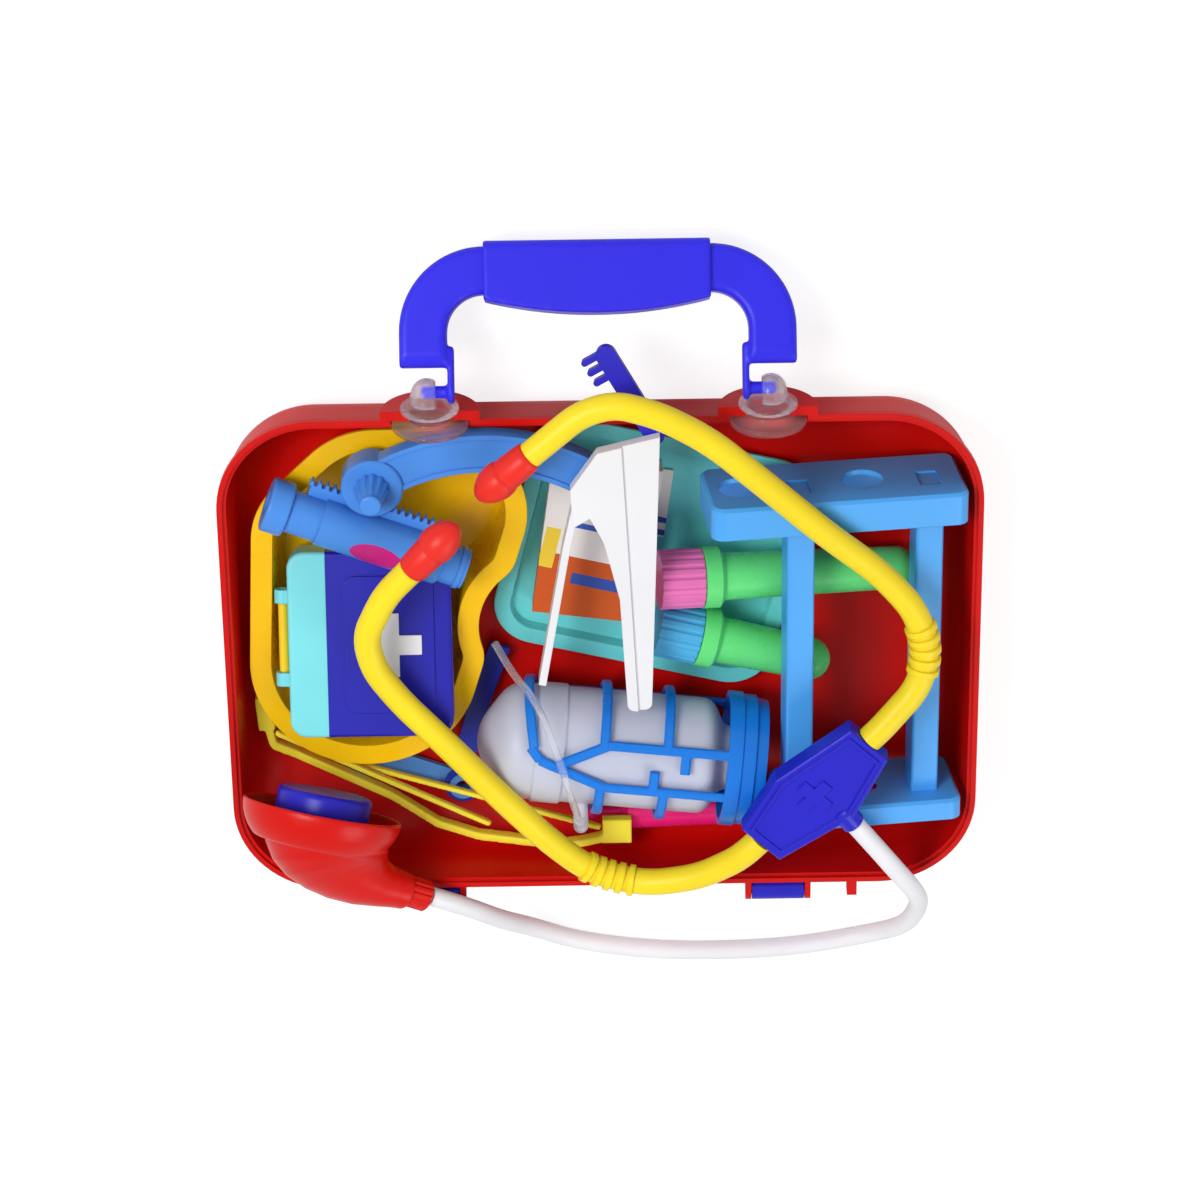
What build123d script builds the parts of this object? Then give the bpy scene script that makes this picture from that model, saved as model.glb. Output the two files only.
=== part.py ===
"""Toy doctor case: one half of a carrying case, lying open with its play instruments in it.

Frame: millimetres, +Z up out of the opening, +Y towards the carrying handle, +X to the right.
The case lies on its back, with Z = 0 on the table and X = Y = 0 at the middle of the tub.
"""
import os
from math import atan2, cos, degrees, pi, radians, sin, tan

from build123d import *

# ------------------------------------------------------------------ driving sizes
CASE_W = 300.0           # across the rim, X
CASE_H = 211.0           # along the rim towards the handle, Y
CASE_D = 38.0            # depth of this half
WALL = 2.5
CASE_DRAFT = 6.0         # degrees, the wall leans outwards to the rim
CASE_CORNER = 38.0
BACK_ROUND = 20.0        # round between wall and back
FIT = 0.08               # radial running clearance of pins in holes
REST = 0.3               # gap left under a loose piece
SEAT = 0.4               # gap between a soft round piece and what carries it

INNER_ROUND = BACK_ROUND - WALL
FLOOR = WALL
RIM_Y = CASE_H / 2
LIP_H = 3.0
LIP_OUT = 1.0

DISC_X = 65.8            # swivel mounts, left and right of the middle
LOWER_FLANGE_R = 15.0
UPPER_FLANGE_R = 11.5
FLANGE_T = 2.4
NECK_R = 8.0
BOSS_R = 19.5
BOSS_OUT = 4.8           # how far the boss stands out of the rim
BOSS_WALL = 4.0
EAR_T = 11.0
EAR_R = 5.6
PIN_R = 2.5

HANDLE_HALF = 77.0
HANDLE_LEG = 18.5
HANDLE_REACH = 56.0
HANDLE_T = 14.0
HANDLE_DROP = 28.0       # degrees below the rim plane at rest
LEG_START = 9.5
GRIP_HALF = 44.0
GRIP_T = 19.0
GRIP_LOW = 29.5
GRIP_HIGH = 58.0

LATCH_X = 71.0
LATCH_W = 21.4
LATCH_BARREL_R = 4.8
LATCH_LUG_T = 2.4
LATCH_FLAP_T = 2.6
LATCH_FLAP_L = 24.0

DISH_TOP = 26.5
DISH_FLANGE = 8.5
DISH_FLANGE_T = 1.6
DISH_WALL = 1.8

TRAY_TOP = 9.0
TRAY_W = 116.0
TRAY_L = 103.0
TRAY_TURN = -14.0
TRAY_AT = (21.4, 32.0)

os.makedirs("parts", exist_ok=True)


def save(part, name):
    """Label a finished piece and write its STEP file."""
    part.label = name
    export_step(part, f"parts/{name}.step")


def rim_outline(inset):
    """Rounded rectangle of the case, inset from the rim's outer edge (inside a BuildSketch)."""
    RectangleRounded(CASE_W - 2 * inset, CASE_H - 2 * inset, CASE_CORNER - inset)


# ------------------------------------------------------------------ case shell
BACK_INSET = CASE_D * tan(radians(CASE_DRAFT))
PIVOT_Y = RIM_Y + BOSS_OUT + FLANGE_T + 5.9   # handle pins
BOSS_FACE = RIM_Y + BOSS_OUT
LATCH_Y = -(RIM_Y + LATCH_BARREL_R + 3.2)
LATCH_Z = CASE_D - 8.0
LUG_GAP = 0.3
PEG_X = 101.5

with BuildPart() as case_shell:
    with BuildSketch():
        rim_outline(BACK_INSET)
    extrude(amount=CASE_D, taper=-CASE_DRAFT)
    fillet(case_shell.faces().sort_by(Axis.Z)[0].edges(), BACK_ROUND)
    with BuildSketch(Plane.XY.offset(CASE_D - LIP_H)):
        rim_outline(-LIP_OUT)
    extrude(amount=LIP_H)
    # swivel bosses: half-round seats that stand out of the rim on the handle side
    with BuildSketch(Plane.XZ.offset(-BOSS_FACE)):
        with Locations((-DISC_X, CASE_D), (DISC_X, CASE_D)):
            Circle(BOSS_R)
        with Locations((0, CASE_D + BOSS_R)):
            Rectangle(CASE_W, 2 * BOSS_R, mode=Mode.SUBTRACT)
    extrude(amount=BOSS_OUT + 3.0)
    # hollow of the tub
    with BuildPart(mode=Mode.PRIVATE) as hollow:
        with BuildSketch(Plane.XY.offset(FLOOR)):
            rim_outline(WALL + BACK_INSET - FLOOR * tan(radians(CASE_DRAFT)))
        extrude(amount=CASE_D - FLOOR, taper=-CASE_DRAFT)
        fillet(hollow.faces().sort_by(Axis.Z)[0].edges(), INNER_ROUND)
        with BuildSketch(Plane.XY.offset(CASE_D - LIP_H / 2)):
            rim_outline(WALL - 1.3)
        extrude(amount=LIP_H)
    add(hollow.part, mode=Mode.SUBTRACT)
    # pocket for the swivel's inner flange, then the notch for its neck
    with BuildSketch(Plane.XZ.offset(-(BOSS_FACE - BOSS_WALL))):
        with Locations((-DISC_X, CASE_D), (DISC_X, CASE_D)):
            Circle(LOWER_FLANGE_R + SEAT)
    extrude(amount=WALL + 4.0, mode=Mode.SUBTRACT)
    with BuildSketch(Plane.XZ.offset(-BOSS_FACE - 1)):
        with Locations((-DISC_X, CASE_D), (DISC_X, CASE_D)):
            Circle(NECK_R + SEAT)
    extrude(amount=BOSS_WALL + 4.0, mode=Mode.SUBTRACT)
    # lugs that carry the latches, and the two locating pegs beside them
    for side in (-1, 1):
        for end in (-1, 1):
            lug_x = side * LATCH_X + end * (LATCH_W / 2 + LUG_GAP + LATCH_LUG_T / 2)
            with BuildSketch(Plane.YZ.offset(lug_x)):
                with Locations((LATCH_Y, LATCH_Z)):
                    Circle(LATCH_BARREL_R)
                with Locations(((LATCH_Y - RIM_Y + 1.5) / 2, LATCH_Z)):
                    Rectangle(-RIM_Y + 1.5 - LATCH_Y, 2 * LATCH_BARREL_R)
                with Locations((LATCH_Y, LATCH_Z)):
                    Circle(PIN_R + FIT, mode=Mode.SUBTRACT)
            extrude(amount=LATCH_LUG_T / 2, both=True)
        with BuildSketch(Plane.XY.offset(LATCH_Z - 4)):
            with Locations((side * PEG_X, -RIM_Y - 4.5)):
                Rectangle(4.0, 12.0)
        extrude(amount=7.0)
save(case_shell.part, "case_shell")


# ------------------------------------------------------------------ swivel mounts
def swivel_mount(side):
    """Clear spool held between the case halves, with an ear that takes the handle's pin."""
    x = side * DISC_X
    inner = x - side * (EAR_T / 2 - 1.2)      # ear's flat face, towards the middle
    outer = inner + side * EAR_T
    with BuildPart() as mount:
        with BuildSketch(Plane.XZ.offset(-(BOSS_FACE - BOSS_WALL - SEAT))):
            with Locations((x, CASE_D)):
                Circle(LOWER_FLANGE_R)
            with Locations((x, CASE_D + LOWER_FLANGE_R)):
                Rectangle(3.0, 3.0, mode=Mode.SUBTRACT)
        extrude(amount=FLANGE_T)
        with BuildSketch(Plane.XZ.offset(-(BOSS_FACE - BOSS_WALL - SEAT))):
            with Locations((x, CASE_D)):
                Circle(NECK_R)
        extrude(amount=-(BOSS_WALL + 2 * SEAT))
        with BuildSketch(Plane.XZ.offset(-(BOSS_FACE + SEAT))):
            with Locations((x, CASE_D)):
                Circle(UPPER_FLANGE_R)
        extrude(amount=-FLANGE_T)
        fillet(mount.edges().filter_by(GeomType.CIRCLE), 0.6)
        with BuildPart(mode=Mode.PRIVATE) as ear:
            with BuildSketch(Plane.YZ.offset(inner)):
                with Locations((PIVOT_Y, CASE_D)):
                    Circle(EAR_R)
                with Locations(((PIVOT_Y + BOSS_FACE + 1) / 2, CASE_D)):
                    Rectangle(PIVOT_Y - BOSS_FACE - 1, 2 * EAR_R)
            extrude(amount=side * EAR_T)
            far = ear.faces().filter_by(GeomType.PLANE).sort_by(Axis.X)[-1 if side > 0 else 0]
            chamfer(far.edges(), 1.6)
        add(ear.part)
        with BuildSketch(Plane.YZ.offset(inner)):
            with Locations((PIVOT_Y, CASE_D)):
                Circle(PIN_R + FIT)
        extrude(amount=side * (EAR_T - 3.0), mode=Mode.SUBTRACT)
    return mount.part, inner, outer


left_mount, left_ear_face, _ = swivel_mount(-1)
right_mount, right_ear_face, _ = swivel_mount(1)
save(left_mount, "swivel_mount_left")
save(right_mount, "swivel_mount_right")

# ------------------------------------------------------------------ carrying handle
TANG_T = 2.6
BOW_EDGE = 1.6
TANG_END_R = 4.6
LEG_INNER = HANDLE_HALF - HANDLE_LEG
drop = radians(HANDLE_DROP)
HANDLE = Plane(origin=(0, PIVOT_Y, CASE_D), x_dir=(1, 0, 0), z_dir=(0, sin(drop), cos(drop)))


def bow_outline(grow):
    """Outline of the handle's bow in the handle's plane (inside a BuildSketch)."""
    with BuildSketch(mode=Mode.PRIVATE) as outer:
        with Locations((0, HANDLE_REACH / 2 - 15)):
            Rectangle(2 * (HANDLE_HALF + grow), HANDLE_REACH + 30 + 2 * grow)
        fillet(outer.vertices().group_by(Axis.Y)[-1], 33.0 + grow)
    with BuildSketch(mode=Mode.PRIVATE) as inner:
        with Locations((0, (HANDLE_REACH - HANDLE_LEG) / 2 - 20)):
            Rectangle(2 * (LEG_INNER - grow), HANDLE_REACH - HANDLE_LEG + 40 - 2 * grow)
        fillet(inner.vertices().group_by(Axis.Y)[-1], 14.5 - grow)
    add(outer.sketch)
    add(inner.sketch, mode=Mode.SUBTRACT)
    with Locations((0, LEG_START - 50)):
        Rectangle(4 * HANDLE_HALF, 100, mode=Mode.SUBTRACT)


with BuildPart() as handle_bow:
    with BuildSketch(HANDLE):
        bow_outline(0)
    extrude(amount=HANDLE_T / 2, both=True)
    leg_ends = handle_bow.faces().filter_by(GeomType.PLANE).sort_by(HANDLE.location.y_axis)[:2]
    chamfer(leg_ends.edges().filter_by(Axis.X), 3.0)
    chamfer(handle_bow.faces().sort_by(HANDLE.location.z_axis)[-1].edges(), BOW_EDGE)
    chamfer(handle_bow.faces().sort_by(HANDLE.location.z_axis)[0].edges(), BOW_EDGE)
    for side, ear_face in ((-1, left_ear_face), (1, right_ear_face)):
        tang_out = side * LEG_INNER
        tang_plane = Plane(origin=HANDLE.from_local_coords((tang_out, 0, 0)),
                           x_dir=HANDLE.y_dir, z_dir=(-side, 0, 0))
        with BuildSketch(tang_plane):
            Circle(TANG_END_R)
            with Locations((LEG_START / 2 + 4, 0)):
                Rectangle(LEG_START + 8, 2 * TANG_END_R)
        extrude(amount=TANG_T)
        with BuildSketch(tang_plane):
            Circle(PIN_R)
        extrude(amount=-(abs(ear_face - tang_out) + EAR_T - 3.6))
save(handle_bow.part, "handle_bow")

with BuildPart() as handle_grip:
    with BuildSketch(HANDLE):
        with BuildLine():
            low = GRIP_LOW + 5.5
            ThreePointArc((-GRIP_HALF, low), (0, GRIP_LOW), (GRIP_HALF, low))
            Line((GRIP_HALF, low), (GRIP_HALF, GRIP_HIGH))
            Line((GRIP_HALF, GRIP_HIGH), (-GRIP_HALF, GRIP_HIGH))
            Line((-GRIP_HALF, GRIP_HIGH), (-GRIP_HALF, low))
        make_face()
    extrude(amount=GRIP_T / 2, both=True)
    fillet(handle_grip.edges().filter_by(Axis.X), 3.0)
    with BuildSketch(HANDLE):
        bow_outline(0)
    extrude(amount=HANDLE_T / 2, both=True, mode=Mode.SUBTRACT)
save(handle_grip.part, "handle_grip")


# ------------------------------------------------------------------ latches
def latch(side):
    """Snap latch: a barrel between two lugs, with a flap that hangs along the wall."""
    x = side * LATCH_X
    with BuildPart() as clip:
        with BuildSketch(Plane.YZ.offset(x)):
            with Locations((LATCH_Y, LATCH_Z)):
                Circle(LATCH_BARREL_R)
        extrude(amount=LATCH_W / 2, both=True)
        with BuildSketch(Plane.YZ.offset(x)):
            with Locations((LATCH_Y, LATCH_Z)):
                Circle(PIN_R)
        extrude(amount=LATCH_W / 2 + LUG_GAP + LATCH_LUG_T, both=True)
        flap_y = LATCH_Y - LATCH_BARREL_R + LATCH_FLAP_T / 2
        with BuildSketch(Plane.XY.offset(LATCH_Z)):
            with Locations((x, flap_y)):
                Rectangle(LATCH_W, LATCH_FLAP_T)
        extrude(amount=-LATCH_FLAP_L)
        with BuildSketch(Plane.XY.offset(LATCH_Z - LATCH_FLAP_L)):
            with Locations((x, flap_y + LATCH_FLAP_T / 2 + 0.9)):
                Rectangle(LATCH_W - 4, 1.8)
        extrude(amount=2.4)
    return clip.part


save(latch(-1), "latch_left")
save(latch(1), "latch_right")

# ------------------------------------------------------------------ kidney dish
with BuildSketch(mode=Mode.PRIVATE) as dish_outline:
    for cx, cy, r in ((-96, -8, 46), (-106, 48, 33), (-88, 60, 37), (-66, 60, 37)):
        with Locations((cx, cy)):
            Circle(r)
    make_hull()
    with Locations((-19.5, 8)):
        Circle(30, mode=Mode.SUBTRACT)
    fillet(dish_outline.vertices().sort_by_distance((-45, 8))[:2], 16)

DISH_TAPER = 6.0
DISH_BEVEL = 2.6


def dish_block(inset, z_top, z_bottom):
    """Tapering block under the dish's outline, bevelled where it meets its flat bottom."""
    z_bevel = z_bottom + DISH_BEVEL
    inset_bevel = inset + (z_top - z_bevel) * tan(radians(DISH_TAPER))
    with BuildPart() as block:
        with BuildSketch(Plane.XY.offset(z_top)):
            add(dish_outline.sketch)
            offset(amount=-inset, mode=Mode.REPLACE)
        extrude(amount=z_bevel - z_top, taper=DISH_TAPER)
        with BuildSketch(Plane.XY.offset(z_bevel)):
            add(dish_outline.sketch)
            offset(amount=-inset_bevel, mode=Mode.REPLACE)
        extrude(amount=-DISH_BEVEL, taper=40)
    return block.part


dish_base = FLOOR + 0.9
with BuildPart() as kidney_dish:
    with BuildSketch(Plane.XY.offset(DISH_TOP - DISH_FLANGE_T)):
        add(dish_outline.sketch)
    extrude(amount=DISH_FLANGE_T)
    add(dish_block(DISH_FLANGE - DISH_WALL, DISH_TOP - 0.2, dish_base))
    add(dish_block(DISH_FLANGE, DISH_TOP, dish_base + DISH_WALL), mode=Mode.SUBTRACT)
save(kidney_dish.part, "kidney_dish")

# ------------------------------------------------------------------ toy medicine box, leaning in the dish
MINI_L = 76.0
MINI_T = 17.5
MINI_LEFT = -125.4
MINI_SEAM = -110.0
MINI_RIGHT = -60.0
MINI_R = 7.0
MINI_EAR_T = 5.5
MINI_PIVOT_Z = -8.0
MINI = Plane(origin=(0, 7.25, 37.5), x_dir=(1, 0, 0), z_dir=(0, sin(radians(16)), cos(radians(16))))
mini_ears = (-15.0, 19.0)


def mini_block(x0, x1, round_side, radius):
    """Slab of the little box between x0 and x1, with its two corners on one side rounded."""
    with BuildPart() as slab:
        with BuildSketch(MINI) as face:
            with Locations(((x0 + x1) / 2, 0)):
                Rectangle(x1 - x0, MINI_L)
            fillet(face.vertices().group_by(Axis.X)[round_side], radius)
        extrude(amount=-MINI_T)
    return slab.part


with BuildPart() as mini_box_body:
    add(mini_block(MINI_SEAM, MINI_RIGHT, -1, MINI_R))
    fillet(mini_box_body.edges().group_by(Axis.X)[-1], 1.5)
    # raised panel with a plain cross on the wide face
    with BuildSketch(MINI):
        with Locations(((MINI_SEAM + MINI_RIGHT) / 2, 0)):
            RectangleRounded(36, 56, 5)
    extrude(amount=0.8)
    with BuildSketch(MINI.offset(0.8)):
        with Locations(((MINI_SEAM + MINI_RIGHT) / 2, 0)):
            Rectangle(26, 8)
            Rectangle(8, 26)
    extrude(amount=0.8)
    # hollow, open towards the lid
    with BuildSketch(MINI.offset(-2.0)):
        with Locations(((MINI_SEAM + MINI_RIGHT) / 2 - 1, 0)):
            Rectangle(MINI_RIGHT - MINI_SEAM - 2, MINI_L - 4)
    extrude(amount=-(MINI_T - 4), mode=Mode.SUBTRACT)
save(mini_box_body.part, "mini_box_body")

with BuildPart() as mini_box_lid:
    add(mini_block(MINI_LEFT, MINI_SEAM, 0, MINI_R))
    fillet(mini_box_lid.edges().group_by(Axis.X)[0], 1.5)
    with BuildSketch(MINI.offset(-2.0)):
        with Locations(((MINI_LEFT + MINI_SEAM) / 2 + 1, 0)):
            Rectangle(MINI_SEAM - MINI_LEFT - 2, MINI_L - 4)
    extrude(amount=-(MINI_T - 4), mode=Mode.SUBTRACT)
    for y in mini_ears:
        ear_plane = Plane(origin=MINI.from_local_coords((MINI_LEFT - 2.2, y, MINI_PIVOT_Z)),
                          x_dir=(1, 0, 0), z_dir=MINI.y_dir)
        with BuildSketch(ear_plane):
            Circle(3.4)
            with Locations((2.2, 0)):
                Rectangle(4.4, 6.8)
            Circle(1.5 + FIT, mode=Mode.SUBTRACT)
        extrude(amount=MINI_EAR_T / 2, both=True)
save(mini_box_lid.part, "mini_box_lid")

with BuildPart() as mini_box_handle:
    # flat loop that hangs from two pins in the lid's ears
    low_ear, high_ear = mini_ears
    grip_low = low_ear + MINI_EAR_T / 2 + 0.4
    grip_high = high_ear - MINI_EAR_T / 2 - 0.4
    pin_plane = Plane(origin=MINI.from_local_coords((MINI_LEFT - 2.2, grip_low - 3.6, MINI_PIVOT_Z)),
                      x_dir=(1, 0, 0), z_dir=MINI.y_dir)
    with BuildSketch(pin_plane):
        Circle(1.5)
    extrude(amount=grip_high - grip_low + 7.2)
    with BuildSketch(pin_plane.offset(3.6)):
        Circle(2.0)
        with Locations((0, 6.0)):
            Rectangle(3.0, 12.0)
    extrude(amount=grip_high - grip_low)
    with BuildSketch(pin_plane.offset(7.6)):
        with Locations((0, 4.6)):
            Rectangle(8.0, 7.0)
    extrude(amount=grip_high - grip_low - 8, mode=Mode.SUBTRACT)
save(mini_box_handle.part, "mini_box_handle")

# ------------------------------------------------------------------ microscope
SCOPE_Z = 38.0
SCOPE_TURN = -21.6
TUBE_R = 9.6
RACK_Z = 34.5
RACK_T = 4.0
MODULE = 1.0
PINION_TEETH = 16
PINION_PITCH_R = PINION_TEETH * MODULE / 2
RACK_PITCH = pi * MODULE
RACK_ROOT = 12.9
PINION_S = 36.1
PINION_P = RACK_ROOT + 1.2 * MODULE + PINION_PITCH_R
SHAFT_R = 2.4
KNOB_R = 7.0
scope_x = (cos(radians(SCOPE_TURN)), sin(radians(SCOPE_TURN)), 0)
scope_n = (-scope_x[1], scope_x[0], 0)
# plane of the tube: local x runs along the tube, local y towards the rack
SCOPE = Plane(origin=(-131.0, 71.5, SCOPE_Z), x_dir=scope_x, z_dir=(0, 0, 1))
SCOPE_AXIS = Axis(SCOPE.origin, SCOPE.x_dir)


def tube_section(x0, x1, r_out, r_in):
    """Half profile of a ring on the tube's axis (inside a BuildSketch on SCOPE)."""
    with Locations(((x0 + x1) / 2, (r_out + r_in) / 2)):
        Rectangle(x1 - x0, r_out - r_in)


with BuildPart() as microscope_tube:
    with BuildSketch(SCOPE):
        tube_section(9.2, 22.5, 8.6, 6.2)
        tube_section(22, 73, TUBE_R, 6.2)
        tube_section(69, 73, TUBE_R, 0)
    revolve(axis=SCOPE_AXIS)
    chamfer(microscope_tube.edges().filter_by(GeomType.CIRCLE).sort_by(Axis.X)[-1], 0.8)
    with BuildSketch(SCOPE.offset(RACK_Z - RACK_T / 2 - SCOPE_Z)):
        with Locations(((14 + 70) / 2, (RACK_ROOT + 7.5) / 2)):
            Rectangle(56, RACK_ROOT - 7.5)
        for k in range(18):
            with Locations((PINION_S + (k - 7) * RACK_PITCH, RACK_ROOT)):
                Trapezoid(2.2 * MODULE, 2.0 * MODULE, 70, align=(Align.CENTER, Align.MIN))
    extrude(amount=RACK_T)
    with BuildSketch(Plane(origin=SCOPE.origin, x_dir=scope_n, z_dir=scope_x)):
        Circle(6.2)
    extrude(amount=69, mode=Mode.SUBTRACT)
save(microscope_tube.part, "microscope_tube")

with BuildPart() as microscope_eyepiece:
    with BuildSketch(SCOPE):
        tube_section(0, 9, 11, 5.0)
        tube_section(9, 20, 6.0, 5.0)
    revolve(axis=SCOPE_AXIS)
    fillet(microscope_eyepiece.edges().filter_by(GeomType.CIRCLE).group_by(SortBy.RADIUS)[-1], 1.2)
save(microscope_eyepiece.part, "microscope_eyepiece")

with BuildPart() as microscope_objective:
    with BuildSketch(SCOPE):
        tube_section(73, 83, 8.0, 4.0)
        tube_section(79.5, 81.5, 8.6, 4.0)
        tube_section(73, 75, 8.0, 0)
    revolve(axis=SCOPE_AXIS)
save(microscope_objective.part, "microscope_objective")

PINION = Plane(origin=SCOPE.from_local_coords((PINION_S, PINION_P, RACK_Z - RACK_T / 2 - SCOPE_Z)),
               x_dir=scope_x, z_dir=(0, 0, 1))
pinion_x, pinion_y = PINION.origin.X, PINION.origin.Y
HOUSING_R = 12.2
HOUSING_BASE = 30.0
HOUSING_TOP = 42.0
ARM_AT = (-45.6, 14.4)
ARM_R = 78.6
ARM_W = 16.0
ARM_BASE = 33.5
ARM_TOP = 41.0
ARM_END_DEG = 59.4
arm_start_deg = degrees(atan2(pinion_y - ARM_AT[1], pinion_x - ARM_AT[0]))

with BuildPart() as focus_knob:
    with BuildSketch(PINION):
        Circle(PINION_PITCH_R - 1.25 * MODULE)
        first_tooth = -90 + 180 / PINION_TEETH
        with PolarLocations(PINION_PITCH_R - 1.35 * MODULE, PINION_TEETH, start_angle=first_tooth):
            with Locations(Rotation(0, 0, -90)):
                Trapezoid(2.0 * MODULE, 2.25 * MODULE, 78, align=(Align.CENTER, Align.MIN))
    extrude(amount=RACK_T)
    with BuildSketch(PINION):
        Circle(SHAFT_R)
    extrude(amount=HOUSING_TOP + 1 - RACK_Z + RACK_T / 2)
    knob_base = HOUSING_TOP + 0.4 - (RACK_Z - RACK_T / 2)
    with BuildSketch(PINION.offset(knob_base)):
        Circle(KNOB_R)
        with PolarLocations(KNOB_R + 0.5, 12):
            Circle(1.3, mode=Mode.SUBTRACT)
    extrude(amount=12.5, taper=11)
    with BuildSketch(PINION.offset(knob_base + 12.5)):
        Circle(4.2)
    extrude(amount=2.0)
    fillet(focus_knob.edges().filter_by(GeomType.CIRCLE).sort_by(Axis.Z)[-1], 0.8)
save(focus_knob.part, "focus_knob")


def arm_band(width, deg0, deg1):
    """Arc band of the microscope's arm (inside a BuildSketch)."""
    lo, hi = ARM_R - width / 2, ARM_R + width / 2
    with BuildSketch(mode=Mode.PRIVATE) as band:
        with BuildLine():
            a0 = CenterArc(ARM_AT, lo, deg0, deg1 - deg0)
            a1 = CenterArc(ARM_AT, hi, deg0, deg1 - deg0)
            Line(a0 @ 0, a1 @ 0)
            Line(a0 @ 1, a1 @ 1)
        make_face()
    add(band.sketch)


with BuildPart() as microscope_arm:
    with BuildSketch(Plane.XY.offset(ARM_BASE)):
        arm_band(ARM_W, ARM_END_DEG, arm_start_deg)
    extrude(amount=ARM_TOP - ARM_BASE)
    # shallow channel between raised borders
    with BuildSketch(Plane.XY.offset(ARM_TOP)):
        arm_band(ARM_W - 4, ARM_END_DEG + 2, arm_start_deg)
    extrude(amount=-0.8, mode=Mode.SUBTRACT)
    with BuildSketch(Plane.XY.offset(HOUSING_BASE)):
        with Locations((pinion_x, pinion_y)):
            Circle(HOUSING_R)
    extrude(amount=HOUSING_TOP - HOUSING_BASE)
    chamfer(microscope_arm.edges().filter_by(GeomType.CIRCLE).sort_by(Axis.Z)[-1], 0.7)
    # pinion pocket from below, shaft hole, and the window where the rack runs past
    with BuildSketch(Plane.XY.offset(HOUSING_BASE)):
        with Locations((pinion_x, pinion_y)):
            Circle(PINION_PITCH_R + MODULE + 0.6)
    extrude(amount=RACK_Z + RACK_T / 2 + REST - HOUSING_BASE, mode=Mode.SUBTRACT)
    with BuildSketch(Plane.XY.offset(HOUSING_BASE)):
        with Locations((pinion_x, pinion_y)):
            Circle(SHAFT_R + FIT)
    extrude(amount=HOUSING_TOP - HOUSING_BASE, mode=Mode.SUBTRACT)
    with BuildSketch(SCOPE.offset(HOUSING_BASE - SCOPE_Z)):
        with Locations((PINION_S, RACK_ROOT + 2.7 - 15)):
            Rectangle(60, 30)
    extrude(amount=RACK_Z + RACK_T / 2 + REST - HOUSING_BASE, mode=Mode.SUBTRACT)
save(microscope_arm.part, "microscope_arm")

arm_end = radians(ARM_END_DEG)
end_in = (ARM_AT[0] + (ARM_R - ARM_W / 2) * cos(arm_end), ARM_AT[1] + (ARM_R - ARM_W / 2) * sin(arm_end))
end_out = (ARM_AT[0] + (ARM_R + ARM_W / 2) * cos(arm_end), ARM_AT[1] + (ARM_R + ARM_W / 2) * sin(arm_end))
FOOT_Z = 44.2
FOOT_T = 5.8
LEG_T = 3.0

with BuildPart() as microscope_base:
    # near side of the foot, seen flat
    with BuildSketch(Plane.XY.offset(FOOT_Z)) as foot:
        with BuildLine():
            Polyline((-11.7, 80.9), (-1.0, 96.8), (23.5, 103.0), (19.5, -18.0), (9.9, -18.0),
                     (7.2, 32.5), (1.2, 57.9), (-4.1, 68.6), (-10.8, 64.5), close=True)
        make_face()
        fillet(foot.vertices().sort_by_distance((19.5, -18.0))[:2], 3)
        fillet(foot.vertices().sort_by_distance((1.2, 57.9))[0], 12)
    extrude(amount=FOOT_T)
    # step along the foot
    with BuildSketch(Plane.XY.offset(FOOT_Z + FOOT_T)):
        with BuildLine():
            Polyline((8.5, 100.0), (30.0, 106.0), (30.0, -25.0), (14.5, -25.0), close=True)
        make_face()
    extrude(amount=-1.2, mode=Mode.SUBTRACT)
    # heel that the arm's end butts against
    with BuildSketch(Plane.XY.offset(32.0)):
        with BuildLine():
            Polyline(end_in, end_out, (9.0, 92.0), (7.0, 66.0), (-4.5, 66.0), (-10.5, 68.0), close=True)
        make_face()
    extrude(amount=FOOT_Z - 32.0)
    # far leg, seen on edge
    with BuildSketch(Plane.XY.offset(42.0)):
        with BuildLine():
            Polyline((-9.0, 72.0), (-13.5, 51.7), (-24.2, -10.0))
        trace(line_width=LEG_T)
    extrude(amount=-9.0)
save(microscope_base.part, "microscope_base")

# ------------------------------------------------------------------ instrument tray
tray_x = (cos(radians(TRAY_TURN)), sin(radians(TRAY_TURN)), 0)
TRAY = Plane(origin=(*TRAY_AT, 0), x_dir=tray_x, z_dir=(0, 0, 1))
TRAY_FLANGE = 6.5
TRAY_FLOOR_T = 1.4
TRAY_CORNER = 18.0

with BuildPart() as instrument_tray:
    with BuildSketch(TRAY.offset(TRAY_TOP - 1.4)):
        RectangleRounded(TRAY_W, TRAY_L, TRAY_CORNER)
    extrude(amount=1.4)
    with BuildSketch(TRAY.offset(TRAY_TOP)):
        narrower = 2 * (TRAY_FLANGE - 1.4)
        RectangleRounded(TRAY_W - narrower, TRAY_L - narrower, TRAY_CORNER - 5.1)
    extrude(amount=-(TRAY_TOP - FLOOR - REST), taper=12)
    with BuildSketch(TRAY.offset(TRAY_TOP)):
        RectangleRounded(TRAY_W - 2 * TRAY_FLANGE, TRAY_L - 2 * TRAY_FLANGE, TRAY_CORNER - TRAY_FLANGE)
    extrude(amount=-(TRAY_TOP - FLOOR - REST - TRAY_FLOOR_T), taper=12, mode=Mode.SUBTRACT)
    fillet(instrument_tray.faces().sort_by(Axis.Z)[-1].edges(), 0.4)
save(instrument_tray.part, "instrument_tray")

# ------------------------------------------------------------------ card box, end flap open
CARD_Z = FLOOR + REST + TRAY_FLOOR_T + REST
CARD_W = 44.0
CARD_L = 69.0
CARD_T = 9.8
CARD_WALL = 0.8
CARD = Plane(origin=(-1.5, 40.0, CARD_Z), x_dir=(cos(radians(8)), -sin(radians(8)), 0), z_dir=(0, 0, 1))

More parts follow.
